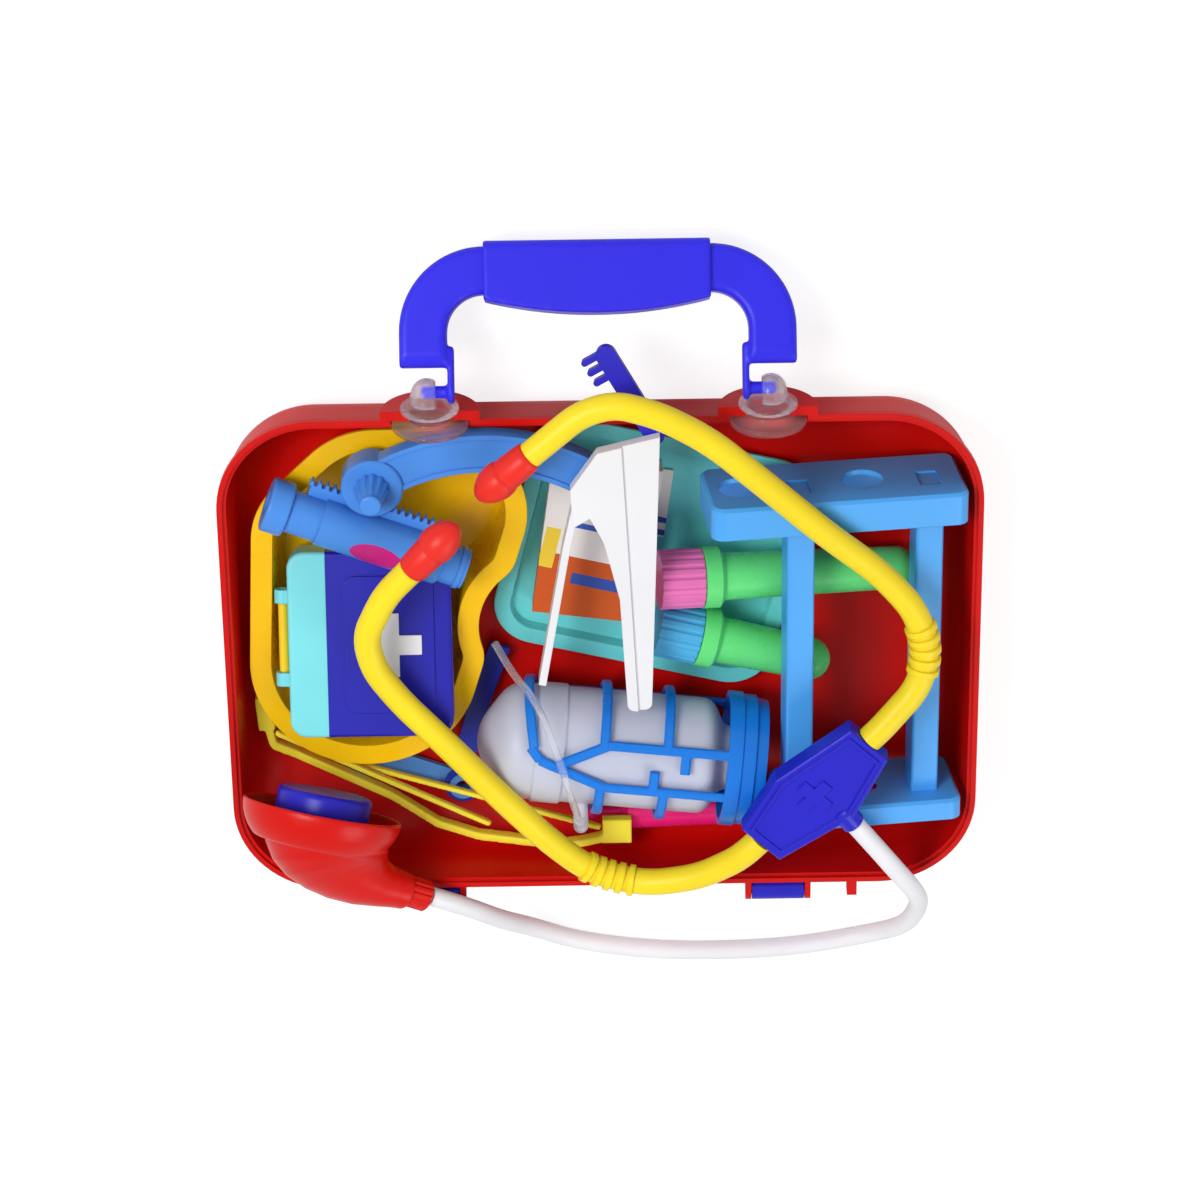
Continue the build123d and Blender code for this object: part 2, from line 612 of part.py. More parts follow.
with BuildPart() as card_box:
    with BuildSketch(CARD):
        Rectangle(CARD_W, CARD_L)
    extrude(amount=CARD_T)
    with BuildSketch(CARD.offset(CARD_WALL)):
        with Locations((CARD_WALL, 0)):
            Rectangle(CARD_W, CARD_L - 2 * CARD_WALL)
    extrude(amount=CARD_T - 2 * CARD_WALL, mode=Mode.SUBTRACT)
    with BuildSketch(CARD):
        with Locations((CARD_W / 2 + 2.0, 16)):
            Rectangle(6.0, 30.0)
    extrude(amount=CARD_WALL)
save(card_box.part, "card_box")

# ------------------------------------------------------------------ test-tube rack, lying on its side
RACK_TILT = 7.0
RACK_DEEP = 38.0
POST_W = 11.0
POST_D = 14.5
POST_AT = 14.5
RACK_PLATE_T = 2.2
RACK_EDGE = 1.2
tilt = radians(RACK_TILT)
# local x runs left, local y runs up through the depth, local z towards the handle
RACK = Plane(origin=(140.3, 0, 8.7), x_dir=(-cos(tilt), 0, sin(tilt)), z_dir=(0, 1, 0))
RACK_TOP_Y = 75.5
RACK_TOP_H = 13.5
RACK_BASE_Y = -63.0
RACK_BASE_H = 9.0
RACK_TOP_L = 102.0
RACK_BASE_L = 74.0
RIGHT_POST = 8.5
LEFT_POST = 60.0
TUBE_HOLE_R = 8.3
PLUG = 4.0
TOP_PLUG = 1.4           # the posts' upper plugs end below the plate's face


def rack_plate(length, y_top, y_skirt, hole_x):
    """Plate of the rack with a skirt around its edge; the skirt hangs from y_top down to y_skirt."""
    with BuildPart() as plate:
        with BuildSketch(RACK.offset(y_top)):
            with Locations((length / 2, RACK_DEEP / 2)):
                RectangleRounded(length, RACK_DEEP, 5)
        extrude(amount=y_skirt - y_top)
        chamfer(plate.faces().sort_by(Axis.Y)[-1].edges(), RACK_EDGE)
        with BuildSketch(RACK.offset(y_top - RACK_PLATE_T)):
            with Locations((length / 2, RACK_DEEP / 2)):
                RectangleRounded(length - 3.6, RACK_DEEP - 3.6, 3.2)
        extrude(amount=y_skirt - y_top + RACK_PLATE_T, mode=Mode.SUBTRACT)
        with BuildSketch(RACK.offset(y_top)):
            with Locations(*[(x, RACK_DEEP / 2) for x in hole_x]):
                Circle(TUBE_HOLE_R)
            with Locations(*[(x + POST_W / 2, POST_AT + POST_D / 2) for x in (RIGHT_POST, LEFT_POST)]):
                Rectangle(POST_W - 3 + 2 * FIT, POST_D - 3 + 2 * FIT)
        extrude(amount=-RACK_PLATE_T, mode=Mode.SUBTRACT)
    return plate.part


rack_holes = [RIGHT_POST + POST_W + (LEFT_POST - RIGHT_POST - POST_W) / 2 + k * 49.0 for k in range(2)]
save(rack_plate(RACK_TOP_L, RACK_TOP_Y, RACK_TOP_Y - RACK_TOP_H, rack_holes), "rack_top_plate")
save(rack_plate(RACK_BASE_L, RACK_BASE_Y, RACK_BASE_Y - RACK_BASE_H, rack_holes[:1]), "rack_base_plate")
for name, x in (("rack_post_right", RIGHT_POST), ("rack_post_left", LEFT_POST)):
    with BuildPart() as post:
        with BuildSketch(RACK.offset(RACK_BASE_Y)):
            with Locations((x + POST_W / 2, POST_AT + POST_D / 2)):
                Rectangle(POST_W, POST_D)
        extrude(amount=RACK_TOP_Y - RACK_PLATE_T - RACK_BASE_Y)
        fillet(post.edges().filter_by(Axis.Y), 1.2)
        with BuildSketch(RACK.offset(RACK_BASE_Y - PLUG)):
            with Locations((x + POST_W / 2, POST_AT + POST_D / 2)):
                Rectangle(POST_W - 3, POST_D - 3)
        extrude(amount=RACK_TOP_Y - RACK_PLATE_T - RACK_BASE_Y + PLUG + TOP_PLUG)
    save(post.part, name)

# ------------------------------------------------------------------ test tubes and their caps
CAP_R = 12.0
CAP_L = 17.5
TUBE_MOUTH_R = 7.4
TUBE_BODY_R = 9.2
TUBE_WALL = 1.3
TIP_R = 8.7


def axis_plane(start, end):
    """Plane whose x runs from start to end, with the length between them."""
    line = Vector(*end) - Vector(*start)
    side = Vector(line.Y, -line.X, 0).normalized()
    return Plane(origin=start, x_dir=line, z_dir=side), line.length


def test_tube(start, end):
    """Fluted cap from start on, then the tube to its round tip at end."""
    along, length = axis_plane(start, end)
    mouth = CAP_L + 0.2
    spin = Axis(along.origin, along.x_dir)
    with BuildPart() as cap:
        with BuildSketch(Plane(origin=along.origin, x_dir=along.z_dir, z_dir=along.x_dir)):
            Circle(CAP_R)
            with PolarLocations(CAP_R + 0.7, 18):
                Circle(1.3, mode=Mode.SUBTRACT)
        extrude(amount=CAP_L)
        with BuildSketch(along):
            with Locations((CAP_L / 2 + 1.8, (TUBE_MOUTH_R + 0.3) / 2)):
                Rectangle(CAP_L, TUBE_MOUTH_R + 0.3)
        revolve(axis=spin, mode=Mode.SUBTRACT)
    with BuildPart() as tube:
        with BuildSketch(along):
            with BuildLine():
                Polyline((3.0, 0), (3.0, TUBE_MOUTH_R), (mouth, TUBE_MOUTH_R), (mouth, CAP_R + 0.4),
                         (mouth + 6.5, CAP_R + 0.4), (mouth + 8.5, TUBE_BODY_R + 0.3),
                         (length - TIP_R, TIP_R))
                ThreePointArc((length - TIP_R, TIP_R),
                              (length - TIP_R * (1 - cos(pi / 4)), TIP_R * sin(pi / 4)), (length, 0))
                Line((length, 0), (3.0, 0))
            make_face()
        revolve(axis=spin)
        with BuildSketch(along):
            with BuildLine():
                Polyline((2.0, 0), (2.0, TUBE_MOUTH_R - TUBE_WALL), (mouth + 8.0, TUBE_MOUTH_R - TUBE_WALL),
                         (length - TIP_R, TIP_R - TUBE_WALL), (length - TIP_R / 2, 4.5),
                         (length - TIP_R / 2, 0), close=True)
            make_face()
        revolve(axis=spin, mode=Mode.SUBTRACT)
    return cap.part, tube.part


cap_part, tube_part = test_tube((22.8, 29.6, 27.8), (127.0, 26.0, 12.4))
save(cap_part, "tube_cap_upper")
save(tube_part, "test_tube_upper")
cap_part, tube_part = test_tube((21.8, 5.5, 22.0), (91.8, -14.0, 19.0))
save(cap_part, "tube_cap_lower")
save(tube_part, "test_tube_lower")

# ------------------------------------------------------------------ infusion bottle in its cage
BOTTLE_R = 23.6
BOTTLE_WALL = 1.5
CAGE_IN = 24.9
CAGE_OUT = 27.4
CAGE_MID = (CAGE_OUT + CAGE_IN) / 2
BOTTLE_AT = (0.0, -45.4, FLOOR + REST + CAGE_OUT + 0.1)
BOTTLE_TURN = -6.6
bottle_x = (cos(radians(BOTTLE_TURN)), sin(radians(BOTTLE_TURN)), 0)
# local x runs along the bottle, local y is up
BOTTLE = Plane(origin=BOTTLE_AT, x_dir=bottle_x, z_dir=(bottle_x[1], -bottle_x[0], 0))
BOTTLE_AXIS = Axis(BOTTLE.origin, BOTTLE.x_dir)
BOTTLE_LEFT = -51.5
BOTTLE_NECK_R = 13.0
BOTTLE_RIGHT = 60.0
OUTLET_X = -9.8
OUTLET_R = 2.2


def bottle_half(inset):
    """Half profile of the bottle, drawn inside its outer surface by inset."""
    r = BOTTLE_R - inset
    neck = BOTTLE_NECK_R - inset
    with BuildSketch(mode=Mode.PRIVATE) as half:
        with BuildLine():
            Spline((BOTTLE_LEFT + inset, 0), (-45.5 + inset * 0.4, 15.0 - inset), (-33, r),
                   tangents=((0, 1), (1, 0)))
            Polyline((-33, r), (-29, r), (-28, r + 0.9), (-17, r + 0.9), (-16, r), (38 - inset, r))
            Spline((38 - inset, r), (46 - inset, neck + 4), (51, neck), tangents=((1, 0), (1, 0)))
            Polyline((51, neck), (BOTTLE_RIGHT - inset, neck), (BOTTLE_RIGHT - inset, 0),
                     (BOTTLE_LEFT + inset, 0))
        make_face()
    return half.sketch


OUTLET_BEND = (OUTLET_X, -78.0, 38.0)
outlet_up = Vector(-0.07, 0.80, 0.59).normalized()

with BuildPart() as infusion_bottle:
    with BuildSketch(BOTTLE):
        add(bottle_half(0))
    revolve(axis=BOTTLE_AXIS)
    # side outlet: a short elbow that the clear tubing slips on
    with BuildSketch(Plane(origin=OUTLET_BEND, x_dir=(1, 0, 0), z_dir=(0, 1, 0))):
        Circle(OUTLET_R + 0.8)
    extrude(amount=16)
    with Locations(OUTLET_BEND):
        Sphere(OUTLET_R + 0.8)
    with BuildSketch(Plane(origin=OUTLET_BEND, x_dir=(1, 0, 0), z_dir=outlet_up)):
        Circle(OUTLET_R)
    extrude(amount=6.0)
    with BuildSketch(BOTTLE):
        add(bottle_half(BOTTLE_WALL))
    revolve(axis=BOTTLE_AXIS, mode=Mode.SUBTRACT)
save(infusion_bottle.part, "infusion_bottle")

CAGE_BAND = 4.0           # width of the cage's hoops and rails
CAGE_EDGE = 0.7
UPPER_RAIL = 31.0         # degrees from straight up, towards the handle
LOWER_RAIL = -9.0
HOOP_END = 24.0           # where the left hoop leaves its circle and bends to the fork
LEFT_HOOP_X = -28.0
LEFT_HOOP_TURN = 7.0
HOOPS = (0.5, 26.0)
RING_FROM = 48.8
PEG = 20.0                # degrees that the short pegs reach round the bottle


def cage_point(x, angle):
    """Point on the middle of the cage's wall, at x along the bottle and angle from straight up."""
    return BOTTLE.from_local_coords((x, CAGE_MID * cos(radians(angle)), -CAGE_MID * sin(radians(angle))))


def cage_bar(start, end, angle):
    """Straight bar of the cage between two points, flat against the bottle."""
    line = end - start
    outward = cage_point(0, angle) - Vector(*BOTTLE_AT)
    with BuildSketch(Plane(origin=start, x_dir=line.cross(outward), z_dir=line)) as section:
        Rectangle(CAGE_BAND, CAGE_OUT - CAGE_IN - 0.2)
        chamfer(section.vertices(), CAGE_EDGE)
    extrude(section.sketch, amount=line.length)


def cage_hoop(plane, first, last):
    """Flat hoop round the plane's x axis, from one angle to another, counted towards the handle."""
    with BuildSketch(plane.rotated((-first, 0, 0))) as section:
        with Locations((0, CAGE_MID)):
            Rectangle(CAGE_BAND, CAGE_OUT - CAGE_IN)
        chamfer(section.vertices(), CAGE_EDGE)
    revolve(section.sketch, axis=Axis(plane.origin, plane.x_dir * -1), revolution_arc=last - first)


left_hoop_x = (cos(radians(LEFT_HOOP_TURN)), sin(radians(LEFT_HOOP_TURN)), 0)
LEFT_HOOP = Plane(origin=BOTTLE.from_local_coords((LEFT_HOOP_X, 0, 0)), x_dir=left_hoop_x,
                  z_dir=(left_hoop_x[1], -left_hoop_x[0], 0))

with BuildPart() as bottle_cage:
    with BuildSketch(BOTTLE):
        with BuildLine():
            Polyline((RING_FROM, CAGE_IN), (RING_FROM, CAGE_OUT), (54.5, CAGE_OUT), (55.0, CAGE_OUT - 0.8),
                     (60.0, CAGE_OUT - 0.8), (60.5, CAGE_OUT - 2.0), (64.8, CAGE_OUT - 2.6),
                     (64.8, BOTTLE_NECK_R + SEAT), (62.6, BOTTLE_NECK_R + SEAT), (62.0, CAGE_IN - 2.0),
                     close=True)
        make_face()
    revolve(axis=BOTTLE_AXIS)
    # rails along the bottle: two above, two below
    rails = ((UPPER_RAIL, HOOPS[0]), (LOWER_RAIL, HOOPS[0]), (150, LEFT_HOOP_X - 3), (215, HOOPS[0]))
    for angle, rail_from in rails:
        cage_bar(cage_point(rail_from, angle), cage_point(RING_FROM + 1.5, angle), angle)
    # hoops, open between the two upper rails
    for x in HOOPS:
        cage_hoop(Plane(origin=BOTTLE.from_local_coords((x, 0, 0)), x_dir=BOTTLE.x_dir, z_dir=BOTTLE.z_dir),
                  UPPER_RAIL, 360 + LOWER_RAIL)
    cage_hoop(LEFT_HOOP, HOOP_END, 165)
    # bend of the left hoop, its fork to the rails, and the two short pegs
    end_up = CAGE_MID * cos(radians(HOOP_END))
    end_across = CAGE_MID * sin(radians(HOOP_END))
    hoop_end = LEFT_HOOP.from_local_coords((0, end_up, -end_across))
    bend_at = cage_point(LEFT_HOOP_X + 1.5, 13)
    fork_at = cage_point(LEFT_HOOP_X + 7.5, 8)
    cage_bar(hoop_end, bend_at, 18)
    cage_bar(bend_at, fork_at, 10)
    for angle in (UPPER_RAIL, LOWER_RAIL):
        cage_bar(fork_at, cage_point(HOOPS[0], angle), (8 + angle) / 2)
    cage_bar(cage_point(20.0, LOWER_RAIL), cage_point(20.0, LOWER_RAIL + PEG), LOWER_RAIL + PEG / 2)
    cage_bar(cage_point(32.0, UPPER_RAIL), cage_point(32.0, UPPER_RAIL - PEG), UPPER_RAIL - PEG / 2)
save(bottle_cage.part, "bottle_cage")


# ------------------------------------------------------------------ cords
def corner_radii(points):
    """Largest tidy bend for each inner corner of a route: 0.45 of the shorter run."""
    route = [Vector(*point) for point in points]
    radii = []
    for before, here, after in zip(route, route[1:], route[2:]):
        turn = radians((here - before).get_angle(after - here))
        radii.append(0.45 * min((here - before).length, (after - here).length) / tan(turn / 2))
    return radii


def cord(name, points, radius):
    """Round cord along a route of straight runs and tangent arcs."""
    with BuildPart() as line_part:
        with BuildLine() as route:
            FilletPolyline(*points, radius=corner_radii(points))
        path = route.wire()
        with BuildSketch(Plane(origin=path @ 0, z_dir=path % 0)):
            Circle(radius)
        sweep(path=path)
    print(name, "radius", radius, "length", round(path.length, 1))
    save(line_part.part, name)


TUBING_R = 1.5
HOSE_R = 4.0
outlet_tip = Vector(*OUTLET_BEND) + outlet_up * 6.7
cord("infusion_tubing", [(-43, 5.5, 34), (-37, -3, 42.5), (-26.5, -11.5, 52), (-18.5, -32, 60),
                         (-12.0, -57, 60), tuple(outlet_tip)], TUBING_R)

HUB_Z = 63.3
HUB_AT = (84.0, -47.7, HUB_Z)
HUB_TURN = 46.6
COLLAR_TIP = (-76.8, -102.3, CASE_D + 11.0)
hose_in = (99.8, -63.2, HUB_Z)
hose_route = [hose_in, (108.9, -75.7, 61.5), (117.3, -88.5, 58), (128.0, -106.5, 49.5),
              (128.6, -119.5, 38), (124.8, -138.5, 21), (112.0, -152.5, 4.5), (84.0, -158.0, 4.5),
              (56.4, -160.0, 4.5), (22.6, -159.7, 4.5), (-11.2, -154.6, 4.5), (-31.0, -141.0, 14.0),
              (-43.5, -128.0, 29.0), (-57.0, -113.0, 42.5), (-72.0, -104.1, 48.2)]
cord("stethoscope_hose", hose_route, HOSE_R)

# ------------------------------------------------------------------ glasses
GLASSES_T = 3.4
GLASSES_H = 5.2


def side_band(points, height):
    """Upright band between a lower line (x, z) and the same line raised by height."""
    upper = [(x, z + height) for x, z in reversed(points)]
    with BuildPart() as band:
        with BuildSketch(Plane.XZ):
            with BuildLine():
                Polyline(*points, *upper, close=True)
            make_face()
        extrude(amount=150)
    return band.part


with BuildPart() as glasses_frame:
    with BuildSketch():
        with BuildLine():
            FilletPolyline((-138.0, -38.0), (-135.0, -51.0), (-124.6, -57.5), (-86.0, -78.0),
                           (-69.0, -89.0), (-52.0, -93.8), (-18.0, -96.0), (3.0, -91.0), radius=4)
        trace(line_width=GLASSES_T)
        with Locations((5.0, -88.5)):
            Rectangle(12.0, 11.0)
        with Locations(Location((-137.9, -36.0), 4)):
            Rectangle(7.0, 15.0)
    extrude(amount=60)
    add(side_band([(-146, 12.0), (-135, 11.0), (-126, 8.4), (-90, 8.4), (-43, 15.5), (-10, 20.6),
                   (14, 20.8)], GLASSES_H), mode=Mode.INTERSECT)
save(glasses_frame.part, "glasses_frame")


def temple(name, start, end):
    """Thin side arm of the glasses with a curved ear end."""
    along, length = axis_plane(start, end)
    with BuildPart() as arm:
        with BuildSketch(along):
            with Locations((length / 2, 0)):
                SlotOverall(length, 3.2)
        extrude(amount=1.1, both=True)
    save(arm.part, name)


temple("glasses_temple_left", (-134.0, -44.0, 16.6), (-47.0, -89.0, 16.6))
temple("glasses_temple_right", (-1.6, -87.6, 23.0), (-102.0, -62.6, 10.8))

# ------------------------------------------------------------------ toy scissors
BLADE_T = 2.6
BLADE_Z = 4.2
PIVOT = (-58.4, -74.8)
RIVET_R = 4.2
RIVET_HOLE_R = 2.9
RIVET_HEAD_R = 5.6


def blade(name, points, z):
    """Flat arm of the scissors with an eye around the rivet."""
    with BuildPart() as flat:
        with BuildSketch(Plane.XY.offset(z)):
            with BuildLine():
                FilletPolyline(*points, radius=9)
            trace(line_width=8.5)
            with Locations(PIVOT):
                Circle(7.5)
            with Locations(PIVOT):
                Circle(RIVET_R + FIT, mode=Mode.SUBTRACT)
        extrude(amount=BLADE_T)
    save(flat.part, name)


blade("scissors_blade_a", [(-104.0, -66.0), (-87.0, -63.5), PIVOT], BLADE_Z)
blade("scissors_blade_b", [(-41.5, -9.5), (-50.5, -35.0), (-57.0, -60.0), PIVOT], BLADE_Z + BLADE_T + 0.1)
with BuildPart() as scissors_rivet:
    rivet_z = BLADE_Z - 1.1
    with BuildSketch(Plane.XY.offset(rivet_z)):
        with Locations(PIVOT):
            Circle(RIVET_HEAD_R)
    extrude(amount=1.0)
    with BuildSketch(Plane.XY.offset(rivet_z)):
        with Locations(PIVOT):
            Circle(RIVET_R)
    extrude(amount=2 * BLADE_T + 2.3)
    with BuildSketch(Plane.XY.offset(rivet_z + 2 * BLADE_T + 1.3)):
        with Locations(PIVOT):
            Circle(RIVET_HEAD_R)
    extrude(amount=1.0)
    with BuildSketch(Plane.XY.offset(rivet_z)):
        with Locations(PIVOT):
            Circle(RIVET_HOLE_R)
    extrude(amount=2 * BLADE_T + 2.3, mode=Mode.SUBTRACT)
save(scissors_rivet.part, "scissors_rivet")

# ------------------------------------------------------------------ syringe
BARREL_R = 7.5
BARREL_WALL = 1.0
SYRINGE, syringe_length = axis_plane((-8.0, -87.0, FLOOR + REST + BARREL_R + 1.8), (115.0, -82.0, 12.1))
SYRINGE_AXIS = Axis(SYRINGE.origin, SYRINGE.x_dir)
BARREL_FROM = 18.0
BARREL_TO = 96.0

with BuildPart() as syringe_barrel:
    with BuildSketch(SYRINGE):
        with BuildLine():
            ThreePointArc((0, 0), (3.2, 3.2), (5.6, 2.1))
            Polyline((5.6, 2.1), (14.0, 2.3), (16.5, 5.0), (BARREL_FROM, BARREL_R),
                     (BARREL_TO - 2, BARREL_R), (BARREL_TO - 2, BARREL_R + 1.5),
                     (BARREL_TO, BARREL_R + 1.5), (BARREL_TO, 0), (0, 0))
        make_face()
    revolve(axis=SYRINGE_AXIS)
    with BuildSketch(SYRINGE):
        with Locations(((BARREL_FROM + 1.5 + BARREL_TO) / 2, (BARREL_R - BARREL_WALL) / 2)):
            Rectangle(BARREL_TO - BARREL_FROM - 1.5, BARREL_R - BARREL_WALL)
    revolve(axis=SYRINGE_AXIS, mode=Mode.SUBTRACT)
save(syringe_barrel.part, "syringe_barrel")

SYRINGE_STROKE = 18.0
with BuildPart() as syringe_plunger:
    head = BARREL_FROM + 1.9 + SYRINGE_STROKE
    with BuildSketch(Plane(origin=SYRINGE.from_local_coords((head, 0, 0)),
                           x_dir=SYRINGE.z_dir, z_dir=SYRINGE.x_dir)):
        Circle(BARREL_R - BARREL_WALL - FIT)
    extrude(amount=8.0)
    with BuildSketch(Plane(origin=SYRINGE.from_local_coords((head + 8, 0, 0)),
                           x_dir=SYRINGE.z_dir, z_dir=SYRINGE.x_dir)):
        Rectangle(10.0, 1.8)
        Rectangle(1.8, 10.0)
    extrude(amount=syringe_length - 2.6 - head - 8)
    with BuildSketch(Plane(origin=SYRINGE.from_local_coords((syringe_length - 2.6, 0, 0)),
                           x_dir=SYRINGE.z_dir, z_dir=SYRINGE.x_dir)):
        Circle(8.8)
    extrude(amount=2.6)
save(syringe_plunger.part, "syringe_plunger")

# ------------------------------------------------------------------ small rake tool across the rim
RAKE_TAIL = (23.6, 97.5, CASE_D + 4.0)
RAKE_TIP = (1.0, 136.0, CASE_D - 2.6)
RAKE_PITCH = 4.6
RAKE_REACH = 10.0
RAKE, rake_length = axis_plane(RAKE_TAIL, RAKE_TIP)
RAKE_FLAT = Plane(origin=RAKE.origin, x_dir=RAKE.x_dir, z_dir=RAKE.y_dir)
with BuildPart() as rake_tool:
    with BuildSketch(RAKE_FLAT):
        with Locations((rake_length / 2, 0)):
            SlotOverall(rake_length, 8.0)
        for prong in range(3):
            with Locations((rake_length - 2.6 - prong * RAKE_PITCH, RAKE_REACH / 2)):
                SlotOverall(RAKE_REACH, 2.6, rotation=90)
    extrude(amount=1.7, both=True)
save(rake_tool.part, "rake_tool")


# ------------------------------------------------------------------ stethoscope
EAR_TUBE_R = 5.4
EAR_PLUG_R = 3.2
EAR_STRAIGHT = 7.0       # straight length out of the hub
HUB_T = 10.0
HUB_HALF = 31.3
HUB_END_HALF = 10.4
HUB_CROSS = 15.0
HUB_BORDER = 2.6
HUB_RAISED = 0.8
HUB = Plane(origin=HUB_AT, x_dir=(cos(radians(HUB_TURN)), sin(radians(HUB_TURN)), 0), z_dir=(0, 0, 1))
SOCKET = 6.0


def bellows_tube(name, points, start_dir, bellows):
    """Bent ear tube with a short bellows; it starts as a plug in the hub's socket."""
    points = [points[0], tuple(Vector(*points[0]) + start_dir * EAR_STRAIGHT), *points[1:]]
    with BuildPart() as tube:
        with BuildLine() as route:
            FilletPolyline(*points, radius=corner_radii(points))
        path = route.wire()
        with BuildSketch(Plane(origin=path @ 0, z_dir=path % 0)):
            Circle(EAR_TUBE_R)
        sweep(path=path)
        for k in range(5):
            at = bellows + (k - 2) * 4.6 / path.length
            with BuildSketch(Plane(origin=path @ at, z_dir=path % at)):
                Circle(EAR_TUBE_R + 1.1)
            extrude(amount=1.2, both=True)
        with BuildSketch(Plane(origin=path @ 0, z_dir=path % 0)):
            Circle(EAR_PLUG_R)
        extrude(amount=-(SOCKET - REST))
        with BuildSketch(Plane(origin=path @ 1, z_dir=path % 1)):
            Circle(EAR_PLUG_R)
        extrude(amount=10.0)
    save(tube.part, name)
    return path


hub_right = HUB.from_local_coords((HUB_HALF + REST, 0, 0))
hub_left = HUB.from_local_coords((-HUB_HALF - REST, 0, 0))
right_line = bellows_tube("ear_tube_right", [
    tuple(hub_right), (125.5, -3.0, 59.5), (128.2, 14.0, 58.0),
    (123.0, 30.5, 57.6), (108.9, 47.6, 58.3), (88.0, 65.8, 61.3), (61.7, 90.5, 62.4), (42.4, 106.4, 59.5),
    (23.4, 116.3, 57.3), (6.2, 121.0, 56.2), (-7.3, 116.6, 55.6), (-26.9, 99.2, 55.0)], HUB.x_dir, 0.18)
left_line = bellows_tube("ear_tube_left", [
    tuple(hub_left), (52.5, -81.0, 61.5), (38.3, -91.0, 57.5), (16.0, -97.3, 52.5), (-6.3, -91.5, 50.7),
    (-22.4, -76.5, 52.4), (-42.0, -53.0, 56.0), (-61.6, -29.4, 56.6), (-80.0, -8.5, 57.0),
    (-90.5, 7.0, 57.5), (-93.4, 22.0, 58.0), (-84.8, 41.9, 61.5), (-74.2, 53.8, 63.0)], HUB.x_dir * -1, 0.27)


def ear_tip(name, line):
    """Soft olive pushed over the end of an ear tube."""
    base = line @ 1
    direction = line % 1
    along = Plane(origin=base + direction * REST, x_dir=direction,
                  z_dir=Vector(-direction.Y, direction.X, 0).normalized())
    with BuildPart() as tip:
        with BuildSketch(along):
            with BuildLine():
                Polyline((0, 0), (0, 5.4), (6.5, 6.7), (12.5, 6.7))
                Spline((12.5, 6.7), (16.5, 8.2), (24.5, 5.6), (28.0, 0), tangents=((0.6, 0.4), (0, -1)))
                Line((28.0, 0), (0, 0))
            make_face()
        revolve(axis=Axis(along.origin, along.x_dir))
        with BuildSketch(Plane(origin=along.origin, z_dir=direction)):
            Circle(EAR_PLUG_R + FIT)
        extrude(amount=11.0, mode=Mode.SUBTRACT)
    save(tip.part, name)


ear_tip("ear_tip_right", right_line)
ear_tip("ear_tip_left", left_line)

HUB_CORNERS = ((3.0, -18.8), (-5.5, 16.4))
SPIGOT_R = HOSE_R + 0.9
SPIGOT_L = 10.0
with BuildSketch(mode=Mode.PRIVATE) as hub_outline:
    with BuildLine():
        Polyline((HUB_HALF, HUB_END_HALF), (HUB_HALF, -HUB_END_HALF), HUB_CORNERS[0],
                 (-HUB_HALF, -HUB_END_HALF), (-HUB_HALF, HUB_END_HALF), HUB_CORNERS[1], close=True)
    make_face()


def hub_shell(name, side):
    """Half of the hub: side 1 carries the embossed front."""
    with BuildPart() as shell:
        with BuildSketch(HUB):
            add(hub_outline.sketch)
        extrude(amount=side * HUB_T / 2)
        fillet(shell.faces().sort_by(Axis.Z)[-1 if side > 0 else 0].edges(), 1.2)
        for end, up in ((hub_right, 1), (hub_left, -1)):
            with BuildSketch(Plane(origin=end, x_dir=(0, 0, 1), z_dir=HUB.x_dir * -up)):
                Circle(EAR_PLUG_R + FIT)
            extrude(amount=SOCKET + REST, mode=Mode.SUBTRACT)
        # this half's share of the spigot that the hose butts against
        with BuildPart(mode=Mode.PRIVATE) as spigot:
            with BuildSketch(Plane(origin=hose_in, z_dir=hose_from * -1)):
                Circle(SPIGOT_R)
            extrude(amount=SPIGOT_L)
            with BuildSketch(HUB):
                Rectangle(4 * HUB_HALF, 4 * HUB_HALF)
            extrude(amount=side * HUB_T, mode=Mode.INTERSECT)
        add(spigot.part)
        if side > 0:
            # plain raised cross inside a raised border
            with BuildSketch(HUB.offset(HUB_T / 2)):
                Rectangle(HUB_CROSS, HUB_CROSS / 3)
                Rectangle(HUB_CROSS / 3, HUB_CROSS)
            with BuildSketch(HUB.offset(HUB_T / 2)):
                offset(hub_outline.sketch, amount=-HUB_BORDER)
                offset(hub_outline.sketch, amount=-HUB_BORDER - 1.4, mode=Mode.SUBTRACT)
            extrude(amount=HUB_RAISED)
    save(shell.part, name)


hose_from = Vector(*hose_route[1]) - Vector(*hose_in)
hub_shell("hub_front_shell", 1)
hub_shell("hub_back_shell", -1)

# chest piece: bell with its opening towards the handle, its body bent over to the hose
CHEST_AT = (-113.8, -60.6, CASE_D + 12.5)
CHEST_AXIS = Vector(0.2, 0.86, -0.41).normalized()
CHEST_WALL = 2.0
LIP_R = 32.5
LIP_LONG = 9.0
LIP_EDGE = 0.9
BODY_R = 30.5
DIAPHRAGM_R = 27.2
DIAPHRAGM_DEEP = 9.0     # from the lip down to the diaphragm's back
KNOB_R = 19.3
KNOB_OUT = 7.0           # how far the diaphragm's middle stands out of the lip
COLLAR_R = 6.6
COLLAR_L = 10.0
COLLAR_BASE = -5.7       # along the collar, from its reference point
NECK_END_R = 8.0
NECK_L = 4.0
BELL_DEEP = 28.5
CONE_FROM = (18.0, 6.0)
CONE_R = 18.0
